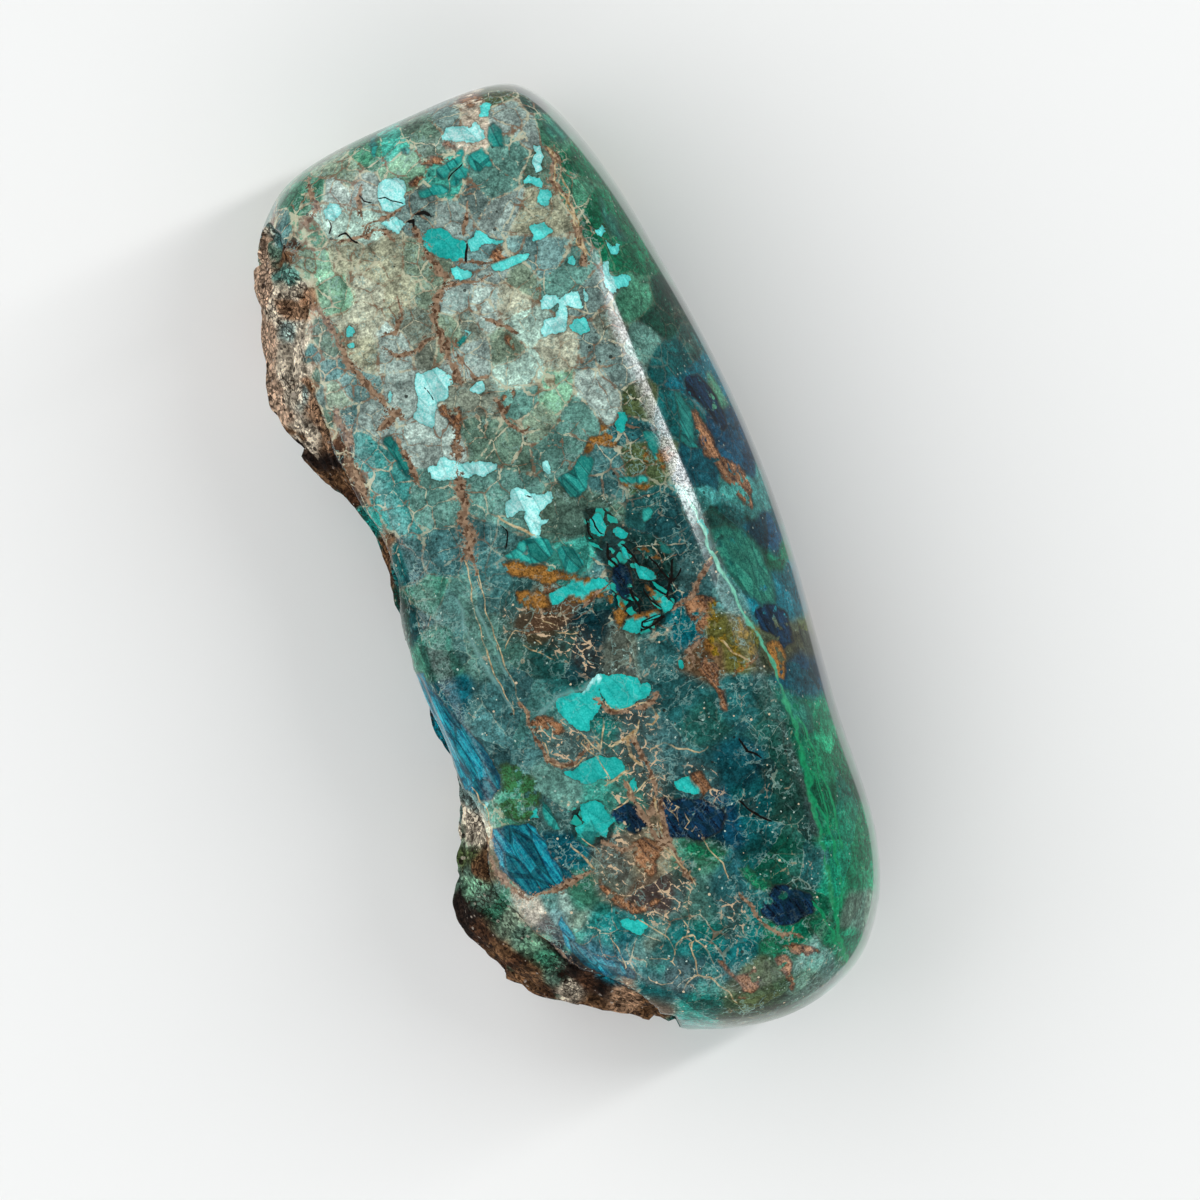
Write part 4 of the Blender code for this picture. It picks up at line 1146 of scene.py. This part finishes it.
def grain(tree, place, size, detail=2.0, roughness=0.5):
    """Noise from 0 to 1 with lumps of this size in millimetres."""
    values = {"Vector": place, "Scale": 1 / size, "Detail": detail, "Roughness": roughness}
    return add_node(tree, "ShaderNodeTexNoise", values, "Fac")


def cells(tree, place, size, output, feature="F1"):
    """Irregular cells of this size in millimetres."""
    values = {"Vector": place, "Scale": 1 / size}
    return add_node(tree, "ShaderNodeTexVoronoi", values, output, feature=feature)


def stretched(tree, place, turn, stretch):
    """Places turned about +Z and drawn out, so that a texture laid by them runs one way."""
    turned = add_node(
        tree, "ShaderNodeVectorRotate", {"Vector": place, "Angle": radians(turn)}, rotation_type="Z_AXIS"
    )
    return add_node(tree, "ShaderNodeVectorMath", {0: turned, 1: stretch}, operation="MULTIPLY")


def channel(tree, color, name):
    """One channel of a colour."""
    return add_node(tree, "ShaderNodeSeparateColor", {0: color}, name)


def scaled(tree, color, share):
    """A colour made brighter or darker."""
    return add_node(tree, "ShaderNodeVectorMath", {0: color, "Scale": share}, operation="SCALE")


def dots(tree, place, size, widest, share):
    """Round dots in this share of cells of a size, up to so wide, as shares of the cell."""
    gate = channel(tree, cells(tree, place, size, "Color"), "Green")
    width = ramp(tree, gate, 1 - share, 1.0, 0.0, widest)
    return maths(tree, "LESS_THAN", cells(tree, place, size, "Distance"), width)


def on_vein(tree, name, jitter, soft=0.35, reach=1.6):
    """Where a vein's crystals are, from 0 to 1."""
    across = maths(tree, "ADD", maths(tree, "ABSOLUTE", attribute(tree, name + "_side")), jitter)
    near = ramp(tree, attribute(tree, name + "_near"), reach, 1.5 * reach, 1.0, 0.0)
    return maths(tree, "MULTIPLY", near, ramp(tree, across, 1 - soft, 1 + soft, 1.0, 0.0))


def breccia_finish():
    """The polished breccia with its chips, veins and rind."""
    finish = bpy.data.materials.new("polished_breccia")
    finish.use_nodes = True
    tree = finish.node_tree
    shader = tree.nodes["Principled BSDF"]
    seat = add_node(tree, "ShaderNodeTexCoord", {}, "Object")
    place = add_node(tree, "ShaderNodeVectorMath", {0: seat, "Scale": 1 / MM}, operation="SCALE")
    drift = add_node(tree, "ShaderNodeTexNoise", {"Vector": place, "Scale": 0.62, "Detail": 2.0}, "Color")
    warped = add_node(
        tree, "ShaderNodeVectorMath", {0: drift, 1: (0.9, 0.9, 0.9), 2: place}, operation="MULTIPLY_ADD"
    )
    length = add_node(tree, "ShaderNodeSeparateXYZ", {0: place}, "Y")
    narrow_half = ramp(tree, length, -4.0, 14.0)
    grainy = maths(tree, "MAXIMUM", narrow_half, ramp(tree, attribute(tree, "grains_depth"), -1.2, 1.2, 0.0, 0.8))

    sand = grain(tree, place, 0.15, 1.0)
    fine = grain(tree, place, 0.4, 3.0, 0.65)
    middle = grain(tree, place, 1.2, 3.0, 0.6)
    broad = grain(tree, place, 3.6, 3.0)
    jitter = maths(tree, "MULTIPLY", maths(tree, "SUBTRACT", fine, 0.5), 0.7)

    # The ground: sandy fragments of quartz, with rounded grains near the narrow end
    ground = attribute(tree, "ground", "Color")
    cell_edge = maths(tree, "MULTIPLY", cells(tree, warped, 2.1, "Distance", "DISTANCE_TO_EDGE"), 2.1)
    cell_tone = channel(tree, cells(tree, warped, 2.1, "Color"), "Red")
    cell_reach = ramp(tree, grainy, 0.0, 1.0, 0.28, 0.5)
    tone = maths(tree, "MULTIPLY_ADD", maths(tree, "SUBTRACT", cell_tone, 0.5), cell_reach, 1.0)
    # Each grain is darker at its border and lighter in its middle: painted shade that gives the grains depth
    tone = maths(tree, "MULTIPLY", tone, ramp(tree, cell_edge, 0.0, 0.35, 0.78, 1.08))
    tone = maths(tree, "MULTIPLY", tone, ramp(tree, sand, 0.2, 0.8, 0.66, 1.36))
    tone = maths(tree, "MULTIPLY", tone, ramp(tree, fine, 0.3, 0.7, 0.56, 1.46))
    tone = maths(tree, "MULTIPLY", tone, ramp(tree, middle, 0.3, 0.7, 0.74, 1.28))
    tone = maths(tree, "MULTIPLY", tone, ramp(tree, broad, 0.3, 0.7, 0.84, 1.16))
    facet_edge = maths(tree, "MULTIPLY", cells(tree, warped, 4.6, "Distance", "DISTANCE_TO_EDGE"), 4.6)
    facet = cells(tree, warped, 4.6, "Color")
    facet_tone = ramp(tree, channel(tree, facet, "Red"), 0.0, 1.0, 0.6, 1.4)
    tone = maths(tree, "MULTIPLY", tone, mix_numbers(tree, narrow_half, facet_tone, 1.0))
    facet_tint = mix(tree, channel(tree, facet, "Green"), paint_of("0A4A62"), paint_of("0E5C46"))
    facet_share = maths(tree, "MULTIPLY", maths(tree, "SUBTRACT", 1.0, narrow_half), channel(tree, facet, "Blue"))
    color = mix(tree, maths(tree, "MULTIPLY", facet_share, 0.4), ground, facet_tint)
    color = scaled(tree, color, tone)

    # Pale wisps and specks of finer crystals, few of them in the clear band
    crossed = ramp(tree, attribute(tree, "clear_depth"), -0.3, 0.5, 1.0, 0.12)
    wisp = maths(tree, "ABSOLUTE", maths(tree, "SUBTRACT", grain(tree, warped, 2.4, 4.0, 0.62), 0.5))
    wisps = maths(tree, "MULTIPLY", ramp(tree, wisp, 0.0, 0.02, 0.5, 0.0), ramp(tree, broad, 0.35, 0.55))
    wisps = maths(tree, "MULTIPLY", wisps, crossed)
    color = mix(tree, wisps, color, paint_of("8FB8B0"))
    color = mix(tree, maths(tree, "MULTIPLY", dots(tree, place, 0.5, 0.22, 0.25), 0.5), color, paint_of("A9BDB0"))
    color = mix(tree, maths(tree, "MULTIPLY", dots(tree, place, 0.62, 0.24, 0.25), 0.5), color, paint_of("1E2C2A"))

    # Cream and brown cement round the grains of the narrow half
    cement = mix(tree, ramp(tree, middle, 0.42, 0.58), paint_of("7A5E48"), paint_of("C6C5A8"))
    line_width = ramp(tree, maths(tree, "ADD", broad, jitter), 0.38, 0.7, 0.0, 0.085)
    lines = maths(tree, "MULTIPLY", maths(tree, "LESS_THAN", cell_edge, line_width), crossed)
    color = mix(tree, maths(tree, "MULTIPLY", lines, ramp(tree, grainy, 0.0, 1.0, 0.05, 0.8)), color, cement)
    border = maths(tree, "ADD", attribute(tree, "border"), maths(tree, "MULTIPLY", jitter, 0.5))
    border_line = maths(tree, "MULTIPLY", ramp(tree, border, 0.03, 0.1, 0.8, 0.0), narrow_half)
    border_line = maths(tree, "MULTIPLY", border_line, crossed)
    color = mix(tree, border_line, color, cement)

    # Tan dots, long pale cracks and short tan ones in the darker half
    tan_share = maths(tree, "MULTIPLY", ramp(tree, narrow_half, 0.0, 1.0, 0.9, 0.3), crossed)
    long_width = ramp(tree, maths(tree, "ADD", broad, jitter), 0.45, 0.7, 0.0, 0.06)
    long_cracks = maths(tree, "MULTIPLY", maths(tree, "LESS_THAN", facet_edge, long_width), tan_share)
    color = mix(tree, maths(tree, "MULTIPLY", long_cracks, 0.35), color, paint_of("A9C0AC"))
    color = mix(tree, maths(tree, "MULTIPLY", dots(tree, place, 0.8, 0.15, 0.5), tan_share), color, paint_of("DCC8A8"))
    color = mix(tree, maths(tree, "MULTIPLY", dots(tree, warped, 0.5, 0.17, 0.35), tan_share), color, paint_of("B8D0C4"))
    hair_place = stretched(tree, warped, 25.0, (1.0, 0.4, 1.0))
    hair = cells(tree, hair_place, 1.5, "Distance", "DISTANCE_TO_EDGE")
    hair_width = ramp(tree, maths(tree, "ADD", middle, maths(tree, "MULTIPLY", jitter, 1.4)), 0.52, 0.74, 0.0, 0.05)
    hair_share = maths(tree, "MULTIPLY", tan_share, ramp(tree, broad, 0.48, 0.6, 0.03, 0.5))
    hairs = maths(tree, "MULTIPLY", maths(tree, "LESS_THAN", hair, hair_width), hair_share)
    hair_tint = mix(tree, ramp(tree, broad, 0.42, 0.58), paint_of("8FBDB4"), paint_of("BE9F80"))
    color = mix(tree, hairs, color, hair_tint)
    color = mix(tree, maths(tree, "MULTIPLY", dots(tree, place, 1.35, 0.13, 0.4), 0.8), color, paint_of("161812"))

    # The net of fine tan crystals
    net_place = stretched(tree, warped, -35.0, (1.0, 0.6, 1.0))
    net_edge = cells(tree, net_place, 0.75, "Distance", "DISTANCE_TO_EDGE")
    net_width = ramp(tree, maths(tree, "ADD", middle, maths(tree, "MULTIPLY", jitter, 1.5)), 0.44, 0.72, 0.0, 0.075)
    net = maths(tree, "LESS_THAN", net_edge, net_width)
    net_area = ramp(tree, maths(tree, "ADD", attribute(tree, "net_depth"), jitter), -0.8, 0.6)
    color = mix(tree, maths(tree, "MULTIPLY", net_area, 0.25), color, mix(tree, middle, paint_of("241C16"), paint_of("6E5340")))
    color = mix(tree, maths(tree, "MULTIPLY", net, net_area), color, paint_of("CDB392"))

    # The mosaic of turquoise in black
    bit = channel(tree, cells(tree, net_place, 0.75, "Color"), "Red")
    bit_color = mix(tree, ramp(tree, bit, 0.5, 0.54), paint_of("0A2624"), paint_of("14A898"))
    bit_color = mix(tree, maths(tree, "LESS_THAN", net_edge, 0.12), bit_color, paint_of("06100E"))
    mosaic = ramp(tree, maths(tree, "ADD", attribute(tree, "mosaic_depth"), jitter), -0.2, 0.1, 0.0, 0.85)
    color = mix(tree, mosaic, color, bit_color)

    # Chips of the blue, green and brown minerals
    nature = attribute(tree, "chip_nature", "Color")
    fade = channel(tree, nature, "Blue")
    depth = maths(tree, "ADD", attribute(tree, "chip_depth"), maths(tree, "MULTIPLY", jitter, 0.7))
    streaks = grain(tree, stretched(tree, place, -17.0, (3.4, 0.4, 1.0)), 1.0, 4.0, 0.65)
    lumps = maths(tree, "MULTIPLY_ADD", fine, 0.5, maths(tree, "MULTIPLY", sand, 0.5))
    pattern = ramp(tree, mix_numbers(tree, channel(tree, nature, "Red"), lumps, streaks), 0.38, 0.62)
    dark, light = attribute(tree, "chip_dark", "Color"), attribute(tree, "chip_light", "Color")
    chip = mix(tree, maths(tree, "MULTIPLY", pattern, ramp(tree, depth, 0.0, 0.3, 0.25, 1.0)), dark, light)
    scratched = maths(tree, "MULTIPLY", wisps, maths(tree, "SUBTRACT", 0.4, maths(tree, "MULTIPLY", channel(tree, nature, "Red"), 0.5)))
    chip = mix(tree, scratched, chip, paint_of("B4D8D0"))
    shard_place = stretched(tree, place, -17.0, (1.0, 0.26, 1.0))
    shard_tone = channel(tree, cells(tree, shard_place, 1.1, "Color"), "Red")
    shard_edge = cells(tree, shard_place, 1.1, "Distance", "DISTANCE_TO_EDGE")
    faceted = maths(tree, "MULTIPLY", channel(tree, nature, "Red"), ramp(tree, shard_tone, 0.0, 1.0, -0.9, 0.9))
    chip = scaled(tree, chip, maths(tree, "ADD", faceted, ramp(tree, middle, 0.3, 0.7, 0.85, 1.12)))
    split = maths(tree, "MULTIPLY", maths(tree, "LESS_THAN", shard_edge, 0.05), channel(tree, nature, "Red"))
    chip = mix(tree, split, chip, paint_of("062830"))
    solid = ramp(tree, maths(tree, "SUBTRACT", channel(tree, nature, "Green"), middle), -0.04, 0.04)
    outline = maths(tree, "MULTIPLY", ramp(tree, depth, -0.16, -0.03, 0.0, 0.5), solid)
    color = mix(tree, outline, color, paint_of("35301F"))
    edge = maths(tree, "DIVIDE", depth, fade)
    color = mix(tree, maths(tree, "MULTIPLY", ramp(tree, edge, -1.0, 1.0), solid), color, chip)

    # Veins, cracks and the malachite line
    rough_place = add_node(
        tree, "ShaderNodeVectorMath", {0: place, 1: (1.0, 1.0, RIND_SQUEEZE)}, operation="MULTIPLY"
    )
    crumb_tone = channel(tree, cells(tree, rough_place, 0.24, "Color"), "Red")
    vein_color = mix(tree, crumb_tone, paint_of("4A3223"), paint_of("A58A70"))
    width_change = maths(tree, "MULTIPLY", maths(tree, "SUBTRACT", middle, 0.45), 4.0)
    vein_jitter = maths(tree, "MULTIPLY_ADD", jitter, 3.0, width_change)
    crumbs = maths(tree, "MULTIPLY", ramp(tree, attribute(tree, "vein_near"), 1.2, 2.8, 1.0, 0.0), ramp(tree, fine, 0.56, 0.6))
    vein = maths(tree, "MAXIMUM", on_vein(tree, "vein", vein_jitter), crumbs)
    color = mix(tree, vein, color, vein_color)
    # Pale streaks of painted sheen along the fibres
    painted_sheen = maths(tree, "MULTIPLY", on_vein(tree, "streak", vein_jitter, 0.9), 0.35)
    color = mix(tree, painted_sheen, color, paint_of("8FC4C0"))
    thread_color = mix(tree, crumb_tone, paint_of("947448"), paint_of("DCCAA0"))
    thread = maths(tree, "MULTIPLY", on_vein(tree, "thread", jitter, 0.5, 3.6), ramp(tree, middle, 0.36, 0.54, 0.2, 0.9))
    color = mix(tree, thread, color, thread_color)
    malachite_tint = mix(tree, ramp(tree, length, -22.0, 2.0), paint_of("128A5A"), paint_of("86D8C0"))
    malachite_color = scaled(tree, malachite_tint, ramp(tree, fine, 0.3, 0.7, 0.7, 1.25))
    color = mix(tree, on_vein(tree, "malachite", vein_jitter, 0.4, 2.4), color, malachite_color)
    color = mix(tree, on_vein(tree, "crack", jitter), color, paint_of("120F0C"))

    # The rind: rough crumbs, each lighter or darker at random, with painted shade: darker where they lie deeper and
    # lighter on the raised lumps
    rind_edge = maths(tree, "ADD", attribute(tree, "rind"), maths(tree, "MULTIPLY", jitter, 0.6))
    on_rind = ramp(tree, rind_edge, 0.0, 0.1)
    lump_tone = channel(tree, cells(tree, rough_place, 0.6, "Color"), "Green")
    rind_shade = maths(tree, "MULTIPLY", ramp(tree, crumb_tone, 0.0, 1.0, 0.35, 1.8), ramp(tree, middle, 0.3, 0.7, 0.55, 1.35))
    rind_shade = maths(tree, "MULTIPLY", rind_shade, ramp(tree, lump_tone, 0.0, 1.0, 0.7, 1.4))
    # Painted shade: the rind is darker where it is sunk deeper
    rind_shade = maths(tree, "MULTIPLY", rind_shade, ramp(tree, attribute(tree, "hollow"), 0.8, 2.6, 1.3, 0.85))
    rind_color = scaled(tree, ground, rind_shade)
    rind_color = mix(tree, maths(tree, "MULTIPLY", dots(tree, rough_place, 0.5, 0.34, 0.3), 0.6), rind_color, paint_of("D8C8B8"))
    # Dark dots: painted shade in small pits
    rind_color = mix(tree, maths(tree, "MULTIPLY", dots(tree, rough_place, 0.7, 0.36, 0.35), 0.85), rind_color, paint_of("201510"))
    # Dark lines between the crumbs: painted shade in the gaps
    crumb_edge = cells(tree, rough_place, 0.6, "Distance", "DISTANCE_TO_EDGE")
    shaded_gaps = maths(tree, "MULTIPLY", maths(tree, "LESS_THAN", crumb_edge, 0.06), ramp(tree, broad, 0.4, 0.6, 0.1, 0.8))
    rind_color = mix(tree, shaded_gaps, rind_color, paint_of("2A1A12"))
    color = mix(tree, on_rind, color, rind_color)

    # Polish, with fine relief where harder grains stand over softer ones
    tree.links.new(color, shader.inputs["Base Color"])
    polish = ramp(tree, fine, 0.3, 0.7, 0.08, 0.14)
    tree.links.new(mix_numbers(tree, on_rind, polish, 0.85), shader.inputs["Roughness"])
    shader.inputs["IOR"].default_value = 1.12
    shader.inputs["Coat Roughness"].default_value = 0.13
    shader.inputs["Coat IOR"].default_value = 1.8
    steepness = add_node(tree, "ShaderNodeLayerWeight", {"Blend": 0.5}, "Facing")
    ground_side = ramp(tree, add_node(tree, "ShaderNodeSeparateXYZ", {0: place}, "X"), 6.0, 12.0, 0.25, 1.0)
    rim_gloss = maths(tree, "MULTIPLY", ramp(tree, steepness, 0.75, 0.78), ground_side)
    face_gloss = ramp(tree, steepness, 0.15, 0.28, 0.6, 0.04)
    face_gloss = maths(tree, "MULTIPLY", face_gloss, ramp(tree, lumps, 0.42, 0.56, 0.25, 1.0))
    gloss = maths(tree, "MAXIMUM", rim_gloss, face_gloss)
    tree.links.new(maths(tree, "MULTIPLY", gloss, maths(tree, "SUBTRACT", 1.0, on_rind)), shader.inputs["Coat Weight"])
    smooth_height = maths(tree, "MULTIPLY_ADD", sand, 0.004, maths(tree, "MULTIPLY", fine, 0.014))
    rough_height = maths(tree, "MULTIPLY_ADD", lump_tone, 0.2, maths(tree, "MULTIPLY", fine, 1.2))
    height = mix_numbers(tree, on_rind, smooth_height, rough_height)
    bump = add_node(tree, "ShaderNodeBump", {"Height": height, "Strength": 1.0, "Distance": MM}, "Normal")
    tree.links.new(bump, shader.inputs["Normal"])
    return finish


def make_stone():
    """The stone, from its cage to its markings."""
    rough = bpy.data.objects.new("stone_cage", make_cage())
    bpy.context.scene.collection.objects.link(rough)
    rounding = rough.modifiers.new("rounding", "SUBSURF")
    rounding.levels = rounding.render_levels = SUBDIVISIONS
    seen = rough.evaluated_get(bpy.context.evaluated_depsgraph_get())
    mesh = bpy.data.meshes.new_from_object(seen)
    bpy.data.objects.remove(rough)
    mesh.name = "breccia_stone"
    cut_marked_cells(mesh)
    keep_values(mesh, "hollow", carve_surface(mesh))
    grind_back(mesh)
    mesh.shade_smooth()
    lay_markings(mesh)
    stone = bpy.data.objects.new("breccia_stone", mesh)
    bpy.context.scene.collection.objects.link(stone)
    stone.data.materials.append(breccia_finish())
    return stone


stone = make_stone()
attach(stone, "root")
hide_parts("shattuckite_stone")
